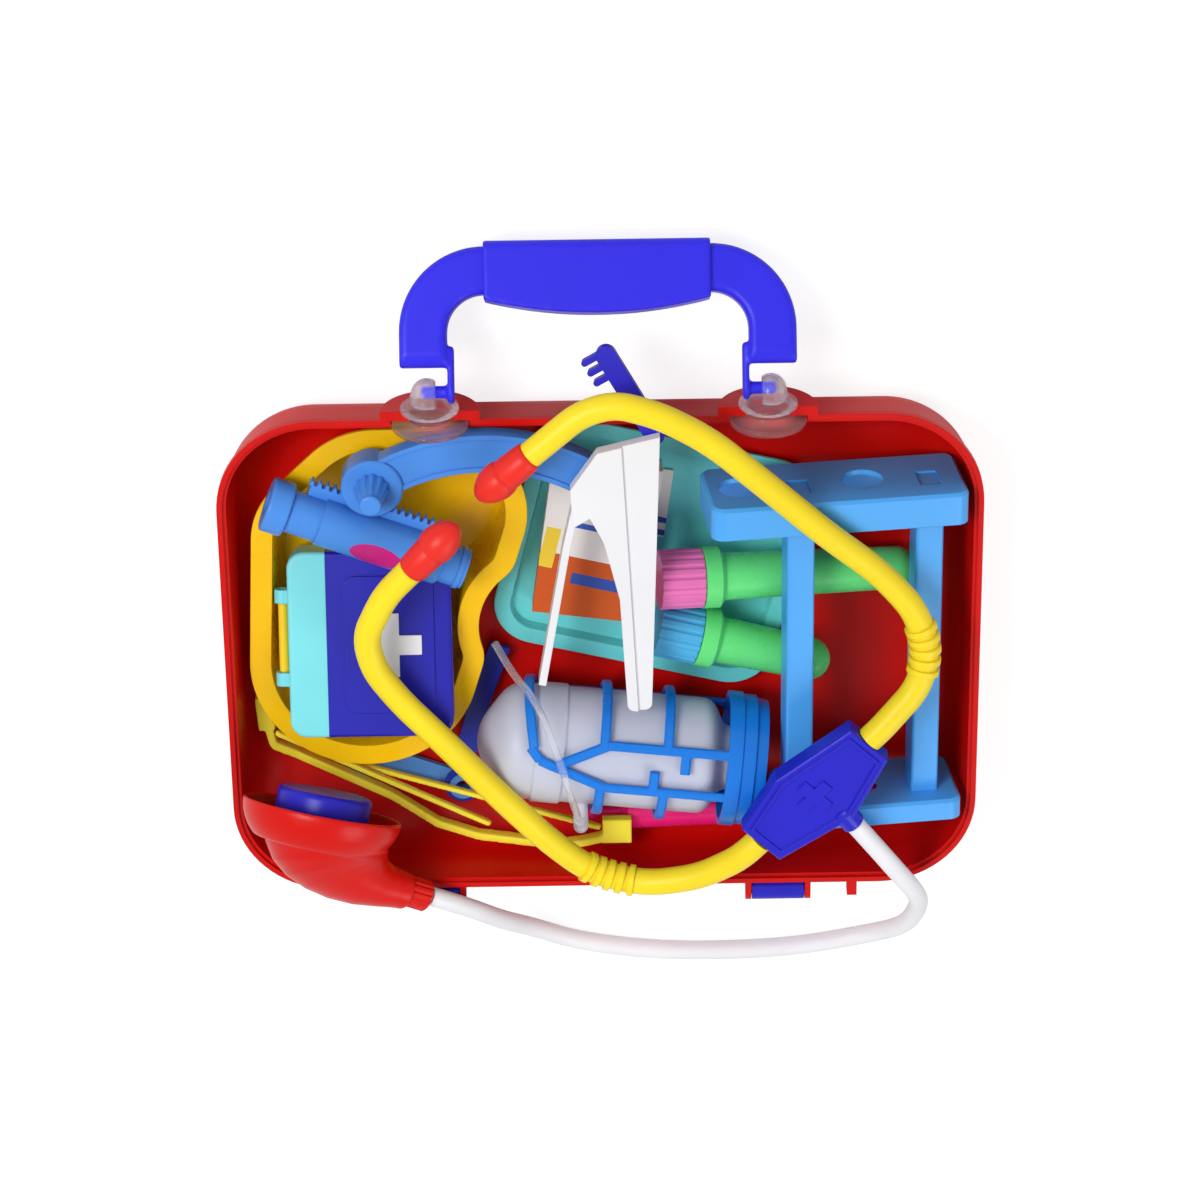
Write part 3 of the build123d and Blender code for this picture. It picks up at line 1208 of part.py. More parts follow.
# bend plane: local x runs back from the lip, local y towards the collar, local z down
bend_down = CHEST_AXIS.cross(Vector(*COLLAR_TIP) - Vector(*CHEST_AT)).normalized()
BEND = Plane(origin=CHEST_AT, x_dir=CHEST_AXIS * -1, z_dir=bend_down)
hose_dir = BEND.to_local_coords(Vector(*hose_route[-2]) - Vector(*hose_route[-1]) + Vector(*CHEST_AT))
NECK_TURN = degrees(atan2(hose_dir.Y, hose_dir.X))
neck_dir = (BEND.x_dir * cos(radians(NECK_TURN)) + BEND.y_dir * sin(radians(NECK_TURN))).normalized()
tip_local = BEND.to_local_coords(Vector(*COLLAR_TIP))
neck_back = REST - COLLAR_BASE
NECK_END = (tip_local.X - neck_back * cos(radians(NECK_TURN)),
            tip_local.Y - neck_back * sin(radians(NECK_TURN)))


def bend_plane(back, across, turn):
    """Plane across the bell: its middle in the bend plane and the turn of its normal."""
    normal = BEND.x_dir * cos(radians(turn)) + BEND.y_dir * sin(radians(turn))
    return Plane(origin=BEND.from_local_coords((back, across, 0)), x_dir=bend_down, z_dir=normal)


def bell_half(inset):
    """Half profile of the bell behind its lip: local x runs back from the lip, local y is the radius."""
    with BuildSketch(BEND) as half:
        with BuildLine():
            Polyline((0, 0), (0, BODY_R - inset), (LIP_LONG, BODY_R - 0.8 - inset))
            Spline((LIP_LONG, BODY_R - 0.8 - inset), (18.0, 22.5 - inset), (BELL_DEEP - inset, 0),
                   tangents=((1, -0.1), (0, -1)))
            Line((BELL_DEEP - inset, 0), (0, 0))
        make_face()
    return half.sketch


def chest_shell(name, side):
    """Half of the bell, above (side -1) or below (side 1) its seam."""
    axis = Axis(CHEST_AT, CHEST_AXIS)
    with BuildPart() as shell:
        revolve(bell_half(0), axis=axis)
        # lip band
        with BuildSketch(BEND):
            with BuildLine():
                Polyline((0, 0), (0, LIP_R - LIP_EDGE), (LIP_EDGE, LIP_R), (LIP_LONG - LIP_EDGE, LIP_R),
                         (LIP_LONG, LIP_R - LIP_EDGE), (LIP_LONG, 0), close=True)
            make_face()
        revolve(axis=axis)
        # cone that leads over to the neck, then the neck itself
        cone_run = Vector(*NECK_END) - Vector(*CONE_FROM)
        cone_turn = degrees(atan2(cone_run.Y, cone_run.X))
        with BuildSketch(bend_plane(*CONE_FROM, cone_turn)):
            Circle(CONE_R)
        extrude(amount=cone_run.length - NECK_L, taper=degrees(atan2(CONE_R - NECK_END_R, cone_run.length)))
        with BuildSketch(bend_plane(*NECK_END, NECK_TURN)):
            Circle(NECK_END_R)
        extrude(amount=-2 * NECK_L)
        revolve(bell_half(CHEST_WALL), axis=axis, mode=Mode.SUBTRACT)
        with BuildSketch(BEND):
            Rectangle(300, 300)
        extrude(amount=side * 150, mode=Mode.INTERSECT)
    save(shell.part, name)


chest_shell("chest_shell_upper", -1)
chest_shell("chest_shell_lower", 1)

with BuildPart() as chest_diaphragm:
    with BuildSketch(bend_plane(DIAPHRAGM_DEEP - 2.0, 0, 0)):
        Circle(DIAPHRAGM_R)
    extrude(amount=2.0)
    with BuildSketch(bend_plane(-KNOB_OUT, 0, 0)):
        Circle(KNOB_R)
    extrude(amount=KNOB_OUT + DIAPHRAGM_DEEP - 2.0)
    fillet(chest_diaphragm.edges().filter_by(GeomType.CIRCLE).sort_by(Axis(CHEST_AT, CHEST_AXIS))[-1], 2.5)
save(chest_diaphragm.part, "chest_diaphragm")

with BuildPart() as chest_collar:
    collar_plane = Plane(origin=Vector(*COLLAR_TIP) + neck_dir * COLLAR_BASE, z_dir=neck_dir)
    with BuildSketch(collar_plane):
        Circle(COLLAR_R)
    extrude(amount=COLLAR_L)
    chamfer(chest_collar.edges().filter_by(GeomType.CIRCLE), 0.7)
    with BuildSketch(collar_plane):
        with PolarLocations(COLLAR_R + 0.3, 14):
            Circle(0.8)
    extrude(amount=COLLAR_L, mode=Mode.SUBTRACT)
save(chest_collar.part, "chest_collar")
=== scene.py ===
"""Looks of the open toy doctor case: materials, cords, small moulded details, light and camera. Metres."""
from math import cos, pi, radians, sin

import bmesh
import bpy
from mathutils import Matrix, Vector


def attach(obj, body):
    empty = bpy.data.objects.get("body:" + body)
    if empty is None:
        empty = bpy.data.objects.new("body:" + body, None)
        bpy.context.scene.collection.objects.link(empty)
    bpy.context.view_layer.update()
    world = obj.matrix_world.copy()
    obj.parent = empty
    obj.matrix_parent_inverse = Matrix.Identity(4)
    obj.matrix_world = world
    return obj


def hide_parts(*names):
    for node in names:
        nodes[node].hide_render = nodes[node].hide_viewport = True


TILT = radians(28.0)      # the view leans this far off straight down
CASE_TOP = 0.038          # rim plane above the table

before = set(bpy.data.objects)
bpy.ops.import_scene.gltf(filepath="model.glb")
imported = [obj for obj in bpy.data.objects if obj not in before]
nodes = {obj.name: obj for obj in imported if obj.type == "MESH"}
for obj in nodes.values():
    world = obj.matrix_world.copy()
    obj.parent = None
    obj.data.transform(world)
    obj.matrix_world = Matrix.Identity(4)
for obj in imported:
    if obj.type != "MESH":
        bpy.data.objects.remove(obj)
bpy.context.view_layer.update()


# ------------------------------------------------------------------ materials
def lin(*rgb):
    """sRGB 0-255 to linear."""
    out = []
    for c in rgb:
        c /= 255
        out.append(c / 12.92 if c <= 0.04045 else ((c + 0.055) / 1.055) ** 2.4)
    return out


def new_material(name):
    mat = bpy.data.materials.new(name)
    mat.use_nodes = True
    nt = mat.node_tree
    bsdf = nt.nodes["Principled BSDF"]
    return mat, nt, bsdf


def node(nt, kind, inputs=(), **props):
    n = nt.nodes.new(kind)
    for key, value in props.items():
        setattr(n, key, value)
    for key, value in dict(inputs).items():
        if isinstance(value, bpy.types.NodeSocket):
            nt.links.new(value, n.inputs[key])
        else:
            n.inputs[key].default_value = value
    return n


def ramp(nt, fac, stops):
    r = nt.nodes.new("ShaderNodeValToRGB")
    nt.links.new(fac, r.inputs["Fac"])
    while len(r.color_ramp.elements) < len(stops):
        r.color_ramp.elements.new(0.5)
    for e, (pos, col) in zip(r.color_ramp.elements, stops):
        e.position = pos
        e.color = (*col, 1.0)
    return r


def surface(nt, bsdf, rough, grain, bevel, rough_scale=140.0):
    """Uneven gloss, a faint moulded grain and softened edges."""
    coord = node(nt, "ShaderNodeTexCoord").outputs["Object"]
    cloud = node(nt, "ShaderNodeTexNoise", {"Vector": coord, "Scale": rough_scale, "Detail": 3.0})
    span = node(nt, "ShaderNodeMapRange", {"Value": cloud.outputs["Fac"], "To Min": rough - 0.05,
                                           "To Max": rough + 0.07})
    nt.links.new(span.outputs["Result"], bsdf.inputs["Roughness"])
    fine = node(nt, "ShaderNodeTexNoise", {"Vector": coord, "Scale": 900.0, "Detail": 2.0})
    edge = node(nt, "ShaderNodeBevel", {"Radius": bevel}, samples=4)
    bump = node(nt, "ShaderNodeBump", {"Height": fine.outputs["Fac"], "Strength": grain, "Distance": 0.0004,
                                       "Normal": edge.outputs["Normal"]})
    nt.links.new(bump.outputs["Normal"], bsdf.inputs["Normal"])
    return coord


def plastic(name, rgb, rough=0.28, grain=0.05, bevel=0.0005, sss=0.0, spread=0.05, specular=0.26):
    """Moulded plastic whose colour drifts a little through the part."""
    mat, nt, bsdf = new_material(name)
    coord = surface(nt, bsdf, rough, grain, bevel)
    drift = node(nt, "ShaderNodeTexNoise", {"Vector": coord, "Scale": 22.0, "Detail": 2.0})
    base = lin(*rgb)
    colour = ramp(nt, drift.outputs["Fac"], [(0.3, [c * (1 - spread) for c in base]),
                                             (0.7, [min(1.0, c * (1 + spread)) for c in base])])
    nt.links.new(colour.outputs["Color"], bsdf.inputs["Base Color"])
    bsdf.inputs["Specular IOR Level"].default_value = specular
    if sss:
        bsdf.inputs["Subsurface Weight"].default_value = sss
        bsdf.inputs["Subsurface Radius"].default_value = [0.4 + 0.6 * c for c in base]
        bsdf.inputs["Subsurface Scale"].default_value = 0.0025
    return mat


def clear(name, rgb, rough=0.08, transmission=0.85, alpha=1.0):
    mat, nt, bsdf = new_material(name)
    coord = surface(nt, bsdf, rough, 0.03, 0.0004)
    drift = node(nt, "ShaderNodeTexNoise", {"Vector": coord, "Scale": 40.0})
    base = lin(*rgb)
    colour = ramp(nt, drift.outputs["Fac"], [(0.3, [c * 0.95 for c in base]), (0.7, base)])
    nt.links.new(colour.outputs["Color"], bsdf.inputs["Base Color"])
    bsdf.inputs["Transmission Weight"].default_value = transmission
    bsdf.inputs["IOR"].default_value = 1.3
    bsdf.inputs["Alpha"].default_value = alpha
    return mat


red = plastic("case_red", (205, 12, 6), rough=0.34, specular=0.2)
clear_plastic = clear("clear_plastic", (250, 251, 252), 0.05, 0.92, 0.62)
handle_blue = plastic("handle_blue", (46, 40, 226), rough=0.34, specular=0.26, bevel=0.0016)
latch_blue = plastic("latch_blue", (34, 30, 186), rough=0.3)
dish_yellow = plastic("dish_yellow", (252, 196, 12), rough=0.26, sss=0.1)
navy = plastic("box_navy", (32, 30, 168), rough=0.3)
cyan = plastic("lid_cyan", (124, 220, 228), rough=0.3, sss=0.1)
loop_yellow = plastic("loop_yellow", (248, 205, 40), rough=0.3)
scope_blue = plastic("scope_blue", (74, 140, 224), rough=0.3)
foot_white = plastic("foot_white", (232, 232, 236), rough=0.36, spread=0.03)
tray_teal = plastic("tray_teal", (108, 214, 216), rough=0.28, sss=0.1)
rack_blue = plastic("rack_blue", (78, 168, 244), rough=0.3)
tube_green = plastic("tube_green", (104, 228, 128), rough=0.27, sss=0.15)
cap_pink = plastic("cap_pink", (232, 118, 184), rough=0.38, sss=0.1)
cap_blue = plastic("cap_blue", (80, 178, 226), rough=0.38, sss=0.1)
bottle_mat = clear("bottle_frost", (232, 236, 252), 0.3, 0.25, 0.76)
cage_blue = plastic("cage_blue", (24, 124, 226), rough=0.28)
tubing_clear = clear("tubing_clear", (246, 248, 250), 0.1, 0.8, 0.5)
glasses_yellow = plastic("glasses_yellow", (255, 236, 66), rough=0.3, sss=0.1)
scissor_blue = plastic("scissor_blue", (84, 142, 212), rough=0.32)
scissor_navy = plastic("scissor_navy", (34, 46, 160), rough=0.32)
syringe_pink = plastic("syringe_pink", (228, 30, 118), rough=0.26)
rake_blue = plastic("rake_blue", (44, 38, 196), rough=0.32)
ear_yellow = plastic("ear_yellow", (250, 222, 38), rough=0.38, sss=0.15, grain=0.06)
tip_red = plastic("tip_red", (232, 44, 32), rough=0.38, sss=0.1)
hub_blue = plastic("hub_blue", (34, 30, 196), rough=0.3)
hose_white = plastic("hose_white", (240, 240, 244), rough=0.36, sss=0.1, spread=0.03)
bell_red = plastic("bell_red", (212, 14, 5), rough=0.3, specular=0.2)
diaphragm_blue = plastic("diaphragm_blue", (40, 34, 190), rough=0.32)


def axis_of(nt, coord, direction, origin):
    """Distance along a direction from an origin, in metres."""
    n = Vector(direction).normalized()
    dot = node(nt, "ShaderNodeVectorMath", {0: coord, 1: n[:]}, operation="DOT_PRODUCT")
    return node(nt, "ShaderNodeMath", {0: dot.outputs["Value"], 1: n.dot(Vector(origin))},
                operation="SUBTRACT").outputs[0]


def within(nt, value, low, high):
    """1 where low < value < high."""
    mid = node(nt, "ShaderNodeMath", {0: value, 1: (low + high) / 2}, operation="SUBTRACT")
    far = node(nt, "ShaderNodeMath", {0: mid.outputs[0]}, operation="ABSOLUTE")
    return node(nt, "ShaderNodeMath", {0: far.outputs[0], 1: (high - low) / 2}, operation="LESS_THAN").outputs[0]


def paint(mat, masks, rgb):
    """Colour the places where every mask is 1."""
    nt = mat.node_tree
    bsdf = nt.nodes["Principled BSDF"]
    both = masks[0]
    for m in masks[1:]:
        both = node(nt, "ShaderNodeMath", {0: both, 1: m}, operation="MULTIPLY").outputs[0]
    old = bsdf.inputs["Base Color"].links[0].from_socket
    mix = node(nt, "ShaderNodeMix", {}, data_type="RGBA")
    nt.links.new(both, mix.inputs[0])
    nt.links.new(old, mix.inputs[6])
    mix.inputs[7].default_value = (*lin(*rgb), 1.0)
    nt.links.new(mix.outputs[2], bsdf.inputs["Base Color"])


def object_coord(mat):
    return node(mat.node_tree, "ShaderNodeTexCoord").outputs["Object"]


# little box: its raised cross is white
mini_origin = (-0.085, 0.00725, 0.0375)
mini_normal = (0, sin(radians(16)), cos(radians(16)))
height = axis_of(navy.node_tree, object_coord(navy), mini_normal, mini_origin)
paint(navy, [within(navy.node_tree, height, 0.0012, 0.01)], (232, 232, 238))

# microscope tube: a plain magenta patch
scope_tube = plastic("scope_tube_blue", (74, 140, 224), rough=0.3)
coord = object_coord(scope_tube)
nt = scope_tube.node_tree
turn = radians(-21.6)
tube_at = (-0.131, 0.0715, CASE_TOP)
patch_along, patch_across = 0.047, -0.003
patch_long, patch_wide = 0.011, 0.0052
along = axis_of(nt, coord, (cos(turn), sin(turn), 0), tube_at)
across = axis_of(nt, coord, (-sin(turn), cos(turn), 0), tube_at)
top = axis_of(nt, coord, (0, 0, 1), (0, 0, CASE_TOP))
du = node(nt, "ShaderNodeMath", {0: along, 1: patch_along}, operation="SUBTRACT").outputs[0]
du = node(nt, "ShaderNodeMath", {0: du, 1: patch_long}, operation="DIVIDE").outputs[0]
dv = node(nt, "ShaderNodeMath", {0: across, 1: patch_across}, operation="SUBTRACT").outputs[0]
dv = node(nt, "ShaderNodeMath", {0: dv, 1: patch_wide}, operation="DIVIDE").outputs[0]
u2 = node(nt, "ShaderNodeMath", {0: du, 1: 2.0}, operation="POWER").outputs[0]
v2 = node(nt, "ShaderNodeMath", {0: dv, 1: 2.0}, operation="POWER").outputs[0]
oval = node(nt, "ShaderNodeMath", {0: u2, 1: v2}, operation="ADD").outputs[0]
paint(scope_tube, [within(nt, oval, -1.0, 1.0), within(nt, top, 0, 0.02)], (196, 34, 128))

# printed card: white with an orange foot, a yellow strip and plain blue bars
card_mat = plastic("printed_card", (238, 234, 230), rough=0.45, grain=0.1, bevel=0.0002, spread=0.03)
nt = card_mat.node_tree
coord = object_coord(card_mat)
card_turn = radians(-14)
card_u = axis_of(nt, coord, (cos(card_turn), sin(card_turn), 0), (0, 0.04, 0))
card_v = axis_of(nt, coord, (-sin(card_turn), cos(card_turn), 0), (0, 0.04, 0))
paint(card_mat, [within(nt, card_v, -0.06, -0.009)], (206, 88, 30))
paint(card_mat, [within(nt, card_u, -0.0225, -0.0165), within(nt, card_v, -0.016, 0.002)], (240, 206, 60))
for (low_v, high_v), (low_u, high_u), rgb in (((0.004, 0.0065), (-0.012, 0.03), (60, 92, 190)),
                                              ((0.0095, 0.012), (-0.012, 0.03), (60, 92, 190)),
                                              ((-0.021, -0.016), (-0.008, 0.014), (52, 84, 170))):
    paint(card_mat, [within(nt, card_v, low_v, high_v), within(nt, card_u, low_u, high_u)], rgb)

finish = {
    "case_shell": red, "swivel_mount_left": clear_plastic, "swivel_mount_right": clear_plastic,
    "handle_bow": handle_blue, "handle_grip": handle_blue, "latch_left": latch_blue, "latch_right": latch_blue,
    "kidney_dish": dish_yellow, "mini_box_body": navy, "mini_box_lid": cyan, "mini_box_handle": loop_yellow,
    "microscope_arm": scope_blue, "microscope_base": foot_white, "microscope_tube": scope_tube,
    "microscope_eyepiece": scope_blue, "microscope_objective": scope_blue, "focus_knob": scope_blue,
    "instrument_tray": tray_teal, "card_box": card_mat, "rack_top_plate": rack_blue, "rack_base_plate": rack_blue,
    "rack_post_left": rack_blue, "rack_post_right": rack_blue, "test_tube_upper": tube_green,
    "test_tube_lower": tube_green, "tube_cap_upper": cap_pink, "tube_cap_lower": cap_blue,
    "infusion_bottle": bottle_mat, "bottle_cage": cage_blue, "infusion_tubing": tubing_clear,
    "glasses_frame": glasses_yellow, "glasses_temple_left": glasses_yellow, "glasses_temple_right": glasses_yellow,
    "scissors_blade_a": scissor_blue, "scissors_blade_b": scissor_navy, "scissors_rivet": scissor_blue,
    "syringe_barrel": syringe_pink, "syringe_plunger": syringe_pink, "rake_tool": rake_blue,
    "ear_tube_left": ear_yellow, "ear_tube_right": ear_yellow, "ear_tip_left": tip_red, "ear_tip_right": tip_red,
    "hub_front_shell": hub_blue, "hub_back_shell": hub_blue, "stethoscope_hose": hose_white,
    "chest_shell_upper": bell_red, "chest_shell_lower": bell_red, "chest_collar": bell_red,
    "chest_diaphragm": diaphragm_blue,
}
for name, mat in finish.items():
    nodes[name].data.materials.clear()
    nodes[name].data.materials.append(mat)


# ------------------------------------------------------------------ modelled details
def add_mesh(name, bm, mat, replaced, body="case"):
    mesh = bpy.data.meshes.new(name)
    bm.to_mesh(mesh)
    bm.free()
    obj = bpy.data.objects.new(name, mesh)
    bpy.context.scene.collection.objects.link(obj)
    mesh.materials.append(mat)
    for p in mesh.polygons:
        p.use_smooth = True
    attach(obj, body)
    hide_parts(*replaced)
    return obj


def applied(obj):
    """Turn the object's modifiers into its mesh."""
    done = bpy.data.meshes.new_from_object(obj.evaluated_get(bpy.context.evaluated_depsgraph_get()))
    obj.modifiers.clear()
    obj.data = done
    for p in done.polygons:
        p.use_smooth = True


def smoothed(obj, cell, rounds):
    """Even the mesh out into small cells and round its edges."""
    remesh = obj.modifiers.new("even", "REMESH")
    remesh.mode = "VOXEL"
    remesh.voxel_size = cell
    soften = obj.modifiers.new("soften", "SMOOTH")
    soften.factor = 0.5
    soften.iterations = rounds
    applied(obj)


def turned(name, profile, base, direction, mat, replaced, steps=48):
    """Closed ring of (along, radius) points turned about an axis; millimetres for the profile."""
    x = Vector(direction).normalized()
    y = x.orthogonal().normalized()
    z = x.cross(y)
    bm = bmesh.new()
    rings = []
    for k in range(steps):
        a = 2 * pi * k / steps
        out = y * cos(a) + z * sin(a)
        rings.append([bm.verts.new(Vector(base) + x * (t / 1000) + out * (r / 1000)) for t, r in profile])
    for k in range(steps):
        here, there = rings[k], rings[(k + 1) % steps]
        for i in range(len(profile)):
            j = (i + 1) % len(profile)
            bm.faces.new((here[i], there[i], there[j], here[j]))
    bmesh.ops.remove_doubles(bm, verts=bm.verts, dist=1e-6)
    bmesh.ops.dissolve_degenerate(bm, edges=bm.edges, dist=1e-6)
    bmesh.ops.recalc_face_normals(bm, faces=bm.faces)
    return add_mesh(name, bm, mat, replaced)


# chest piece: a lipped cup whose back swells over into the neck
chest_at = Vector((-0.1138, -0.0606, 0.0505))
mouth = Vector((0.2, 0.86, -0.41)).normalized()
collar_at = Vector((-0.0768, -0.1023, 0.049))
neck_line = Vector((15, -8.9, -5.7)).normalized()
chest_down = mouth.cross(collar_at - chest_at).normalized()
chest_across = chest_down.cross(mouth)
cup = [(0.0, 31.2), (0.0, 32.1), (0.5, 32.5), (2.5, 32.4), (5.5, 31.7), (8.5, 30.5), (11.0, 29.0), (13.0, 27.4),
       (14.4, 26.0), (14.8, 25.0), (14.8, 0.0), (10.2, 0.0), (10.2, 27.9), (8.8, 28.3), (1.0, 30.9)]
chest = turned("chest_body", cup, chest_at, -mouth, bell_red, ("chest_shell_upper", "chest_shell_lower"), steps=96)
whole = bmesh.new()
whole.from_mesh(chest.data)
# stations of the swelling: across and back from the cup's centre (mm), radius, turn of the ring (deg), lean
stations = ((4.1, 12.4, 25.7, 0, 0), (4.9, 15.2, 25.2, 3, 0), (7.2, 18.4, 23.6, 12, 0), (10.7, 21.2, 21.3, 21, 0),
            (15.3, 23.6, 18.2, 31, 0), (20.4, 25.3, 15.0, 41, 0.1), (26.0, 26.5, 11.9, 51, 0.35),
            (32.2, 27.3, 9.4, 62, 0.65), (38.6, 27.9, 8.0, 72, 1.0), (42.4, 28.3, 7.7, 80, 1.0))
sight = Vector((0, sin(TILT), cos(TILT)))
around = [2 * pi * k / 64 for k in range(64)]
rings = []
for across_mm, back_mm, r, tilt, lean in stations:
    centre = chest_at + (chest_across * across_mm - mouth * back_mm) / 1000
    wide = chest_across * cos(radians(tilt)) + mouth * sin(radians(tilt))
    deep = (sight - wide * sight.dot(wide) - neck_line * (lean * sight.dot(neck_line))).normalized()
    wide = (wide - neck_line * (lean * wide.dot(neck_line))).normalized()
    wide = (wide - deep * wide.dot(deep)).normalized()
    rings.append([whole.verts.new(centre + (wide * cos(a) + deep * sin(a)) * (r / 1000)) for a in around])
for here, there in zip(rings, rings[1:]):
    for k in range(len(around)):
        n = (k + 1) % len(around)
        whole.faces.new((here[k], here[n], there[n], there[k]))
whole.faces.new(rings[0][::-1])
whole.faces.new(rings[-1])
bmesh.ops.recalc_face_normals(whole, faces=whole.faces)
whole.to_mesh(chest.data)
whole.free()
smoothed(chest, 0.0005, 10)

# ear tips: a sleeve, a groove and a bullet nose
bore = 4.6
tip_profile = [(0.0, bore), (0.0, 5.4), (0.6, 6.0), (3.0, 6.35), (12.0, 6.7), (12.5, 6.5), (12.9, 6.5), (13.4, 7.1),
               (15.0, 7.5), (17.5, 7.55), (20.0, 7.1), (22.5, 6.2), (24.5, 5.05), (26.2, 3.7), (27.4, 2.1),
               (27.9, 0.8), (28.0, 0.0), (11.2, 0.0), (11.2, bore)]
for side, last, before in (("left", (-74.2, 53.8, 63.0), (-84.8, 41.9, 61.5)),
                           ("right", (-26.9, 99.2, 55.0), (-7.3, 116.6, 55.6))):
    line = (Vector(last) - Vector(before)).normalized()
    cad_tip = "ear_tip_" + side
    turned(cad_tip + "_soft", tip_profile, (Vector(last) + line * 0.1) / 1000, line, tip_red, (cad_tip,))

# swivel mounts: stepped flanges and a thin dome, open towards the handle's tang
mount_profile = [(103.5, 0), (103.5, 14.4), (104.1, 15), (105.3, 15), (105.9, 14.4), (105.9, 8), (110.7, 8),
                 (110.7, 10.9), (111.3, 11.5), (112.5, 11.5), (113.1, 10.9), (113.1, 9.0), (113.9, 8.4),
                 (113.9, 0)]
dome_profile = [(113.9, 6.5), (116.5, 6.5), (118.4, 6.3), (120.2, 5.7), (121.8, 4.8), (123.1, 3.5), (123.9, 2.0),
                (124.2, 0.6)]
flange_x, dome_x, dome_cut_x = 0.0658, 0.0668, 0.0633
for side, name in ((-1, "swivel_mount_left"), (1, "swivel_mount_right")):
    turned(name + "_flanges", mount_profile, (side * flange_x, 0, CASE_TOP), (0, 1, 0), clear_plastic, (name,))
    dome = bmesh.new()
    rings = []
    for k in range(48):
        a = 2 * pi * k / 48
        rings.append([dome.verts.new((side * dome_x + r * cos(a) / 1000, t / 1000, CASE_TOP + r * sin(a) / 1000))
                      for t, r in dome_profile])
    for k in range(48):
        here, there = rings[k], rings[(k + 1) % 48]
        for i in range(len(dome_profile) - 1):
            dome.faces.new((here[i], there[i], there[i + 1], here[i + 1]))
    dome.faces.new([r[-1] for r in rings])
    bmesh.ops.bisect_plane(dome, geom=dome.verts[:] + dome.edges[:] + dome.faces[:],
                           plane_co=(side * dome_cut_x, 0, 0), plane_no=(-side, 0, 0), clear_outer=True)
    bmesh.ops.recalc_face_normals(dome, faces=dome.faces)
    cap = add_mesh(name + "_dome", dome, clear_plastic, (name,))
    wall = cap.modifiers.new("wall", "SOLIDIFY")
    wall.thickness = 0.0011
    wall.offset = -1.0
    applied(cap)

# handle and glasses: the same shapes with moulded, rounded edges
for name, body, cell, rounds in (("handle_bow", "handle", 0.0006, 9), ("handle_grip", "handle", 0.0006, 9),
                                 ("glasses_frame", "case", 0.0005, 8), ("glasses_temple_left", "case", 0.0005, 8),
                                 ("glasses_temple_right", "case", 0.0005, 8)):
    copy = bmesh.new()
    copy.from_mesh(nodes[name].data)
    soft = add_mesh(name + "_soft", copy, finish[name], (name,), body)
    smoothed(soft, cell, rounds)

# ------------------------------------------------------------------ cords
def smooth_cord(name, points_mm, radius_mm, mat, body, cad):
    """One smooth spline through the same route as the CAD cord."""
    curve = bpy.data.curves.new(name, "CURVE")
    curve.dimensions = "3D"
    spline = curve.splines.new("NURBS")
    spline.points.add(len(points_mm) - 1)
    for p, q in zip(spline.points, points_mm):
        p.co = (q[0] / 1000, q[1] / 1000, q[2] / 1000, 1.0)
    spline.order_u = 3
    spline.use_endpoint_u = True
    spline.resolution_u = 12
    curve.bevel_depth = radius_mm / 1000
    curve.bevel_resolution = 6
    curve.use_fill_caps = True
    obj = bpy.data.objects.new(name, curve)
    bpy.context.scene.collection.objects.link(obj)
    curve.materials.append(mat)
    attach(obj, body)
    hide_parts(cad)
    return obj


outlet_up = Vector((-0.07, 0.80, 0.59)).normalized()
outlet_tip = Vector((-9.8, -78.0, 38.0)) + outlet_up * 6.7
tubing_route = [(-43, 5.5, 34), (-37, -3, 42.5), (-26.5, -11.5, 52), (-18.5, -32, 60), (-12.0, -57, 60),
                tuple(outlet_tip)]
hose_route = [(99.8, -63.2, 63.3), (108.9, -75.7, 61.5), (117.3, -88.5, 58), (128.0, -106.5, 49.5),
              (128.6, -119.5, 38), (124.8, -138.5, 21), (112.0, -152.5, 4.5), (84.0, -158.0, 4.5),
              (56.4, -160.0, 4.5), (22.6, -159.7, 4.5), (-11.2, -154.6, 4.5), (-31.0, -141.0, 14.0),
              (-43.5, -128.0, 29.0), (-57.0, -113.0, 42.5), (-72.0, -104.1, 48.2)]
tubing = smooth_cord("tubing_soft", tubing_route, 1.5, tubing_clear, "case", "infusion_tubing")
hose = smooth_cord("hose_soft", hose_route, 4.0, hose_white, "case", "stethoscope_hose")

# ------------------------------------------------------------------ floor, light, camera
floor_mat, nt, bsdf = new_material("studio_floor")
coord = node(nt, "ShaderNodeTexCoord").outputs["Object"]
cloud = node(nt, "ShaderNodeTexNoise", {"Vector": coord, "Scale": 3.0, "Detail": 2.0})
tone = ramp(nt, cloud.outputs["Fac"], [(0.3, (0.86, 0.86, 0.86)), (0.7, (0.88, 0.88, 0.88))])
nt.links.new(tone.outputs["Color"], bsdf.inputs["Base Color"])
bsdf.inputs["Roughness"].default_value = 0.9
bsdf.inputs["Specular IOR Level"].default_value = 0.1
# to the camera the floor is mostly plain white, and part of it keeps the shadow
paths = node(nt, "ShaderNodeLightPath").outputs["Is Camera Ray"]
share = node(nt, "ShaderNodeMath", {0: paths, 1: 0.62}, operation="MULTIPLY").outputs[0]
glow = node(nt, "ShaderNodeEmission", {"Color": (1.0, 1.0, 1.0, 1.0), "Strength": 1.3})
mixed = node(nt, "ShaderNodeMixShader", {0: share, 1: bsdf.outputs["BSDF"], 2: glow.outputs["Emission"]})
nt.links.new(mixed.outputs[0], nt.nodes["Material Output"].inputs["Surface"])
bpy.ops.mesh.primitive_plane_add(size=6.0, location=(0, 0, -0.0002))
floor = bpy.context.object
floor.name = "studio_floor"
floor.data.materials.append(floor_mat)

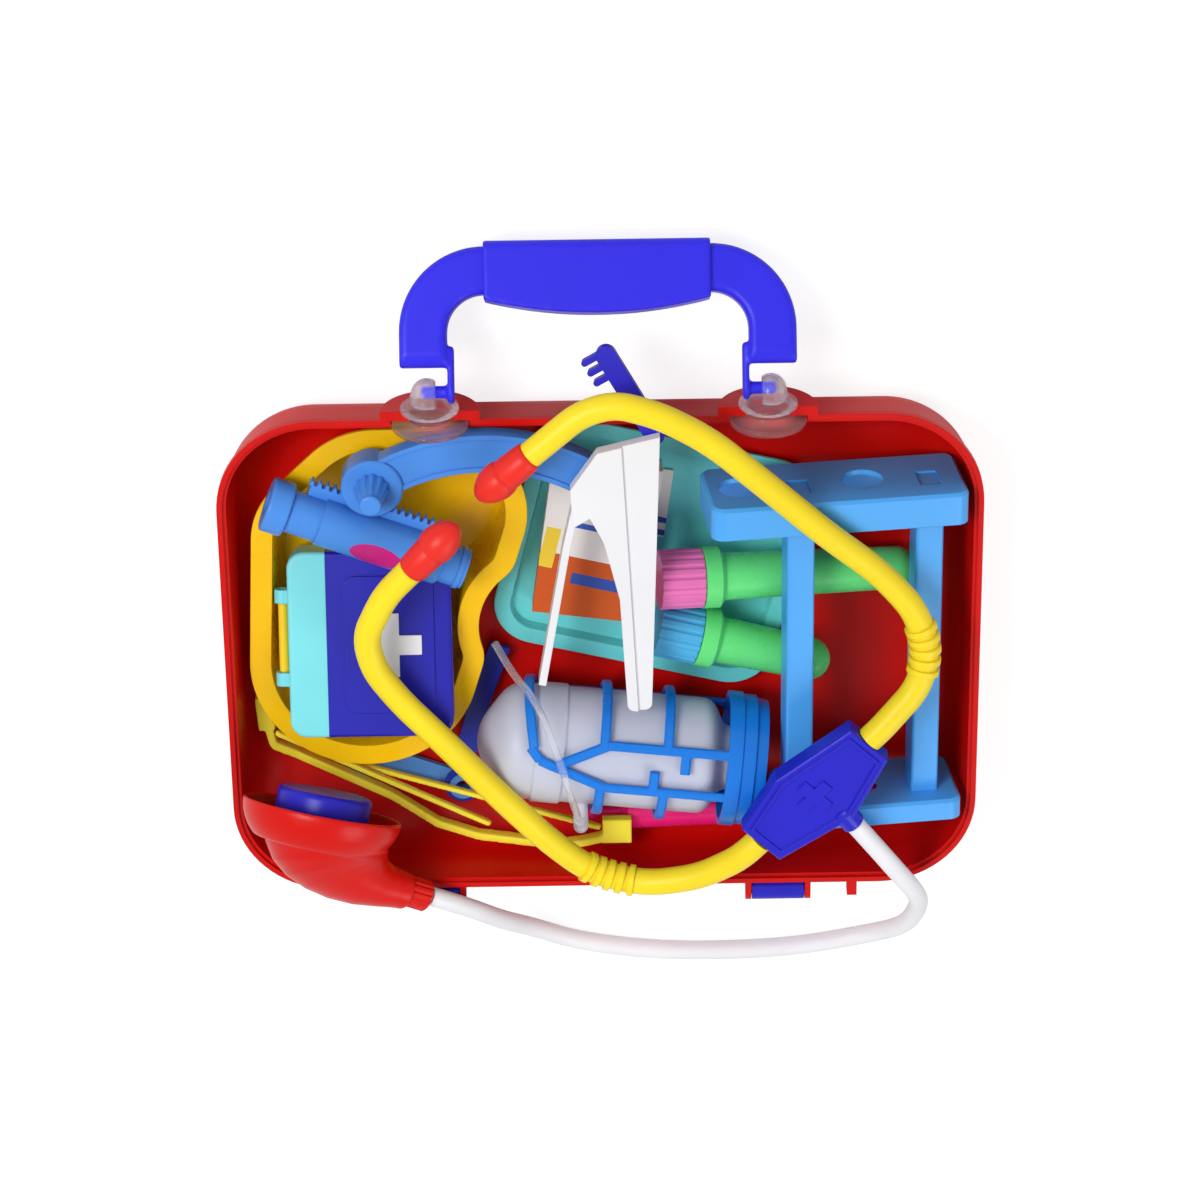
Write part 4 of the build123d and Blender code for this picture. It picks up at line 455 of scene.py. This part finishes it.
scene = bpy.context.scene
world = bpy.data.worlds.new("studio")
scene.world = world
world.use_nodes = True
wt = world.node_tree
background = wt.nodes["Background"]
background.inputs["Color"].default_value = (1.0, 1.0, 1.0, 1.0)
rays = node(wt, "ShaderNodeLightPath").outputs
seen = rays["Is Camera Ray"]
for kind in ("Is Glossy Ray", "Is Transmission Ray"):
    seen = node(wt, "ShaderNodeMath", {0: seen, 1: rays[kind]}, operation="MAXIMUM").outputs[0]
level = node(wt, "ShaderNodeMapRange", {"Value": seen, "To Min": 0.42, "To Max": 1.0}).outputs["Result"]
wt.links.new(level, background.inputs["Strength"])


def lamp(name, place, target, size, power):
    data = bpy.data.lights.new(name, "AREA")
    data.shape = "DISK"
    data.size = size
    data.energy = power
    obj = bpy.data.objects.new(name, data)
    scene.collection.objects.link(obj)
    obj.location = place
    obj.rotation_mode = "QUATERNION"
    obj.rotation_quaternion = (Vector(target) - Vector(place)).to_track_quat("-Z", "Y")


lamp("key", (-0.7, 0.5, 1.35), (0, 0, 0), 0.7, 15)
lamp("fill", (0.9, -0.7, 1.2), (0, 0, 0), 0.9, 7.5)

ROLL = radians(0.84)
back = Vector((0, sin(TILT), cos(TILT)))
up = Vector((0, cos(TILT), -sin(TILT)))
side = Vector((1, 0, 0))
cam_x = side * cos(ROLL) - up * sin(ROLL)
cam_y = up * cos(ROLL) + side * sin(ROLL)
cam_data = bpy.data.cameras.new("camera")
cam_data.sensor_width = 36.0
FRAME_PX = 1200
FOCAL_PX = 4569.3
cam_data.lens = cam_data.sensor_width * FOCAL_PX / FRAME_PX
cam_data.clip_start = 0.05
cam_data.clip_end = 20
cam = bpy.data.objects.new("camera", cam_data)
scene.collection.objects.link(cam)
LOOK_AT = Vector((-0.000646, 0.026284, CASE_TOP))
CAMERA_FAR = 1.8156
place = LOOK_AT + back * CAMERA_FAR
cam.matrix_world = Matrix(((cam_x.x, cam_y.x, back.x, place.x), (cam_x.y, cam_y.y, back.y, place.y),
                           (cam_x.z, cam_y.z, back.z, place.z), (0, 0, 0, 1)))
scene.camera = cam
scene.view_settings.view_transform = "Standard"
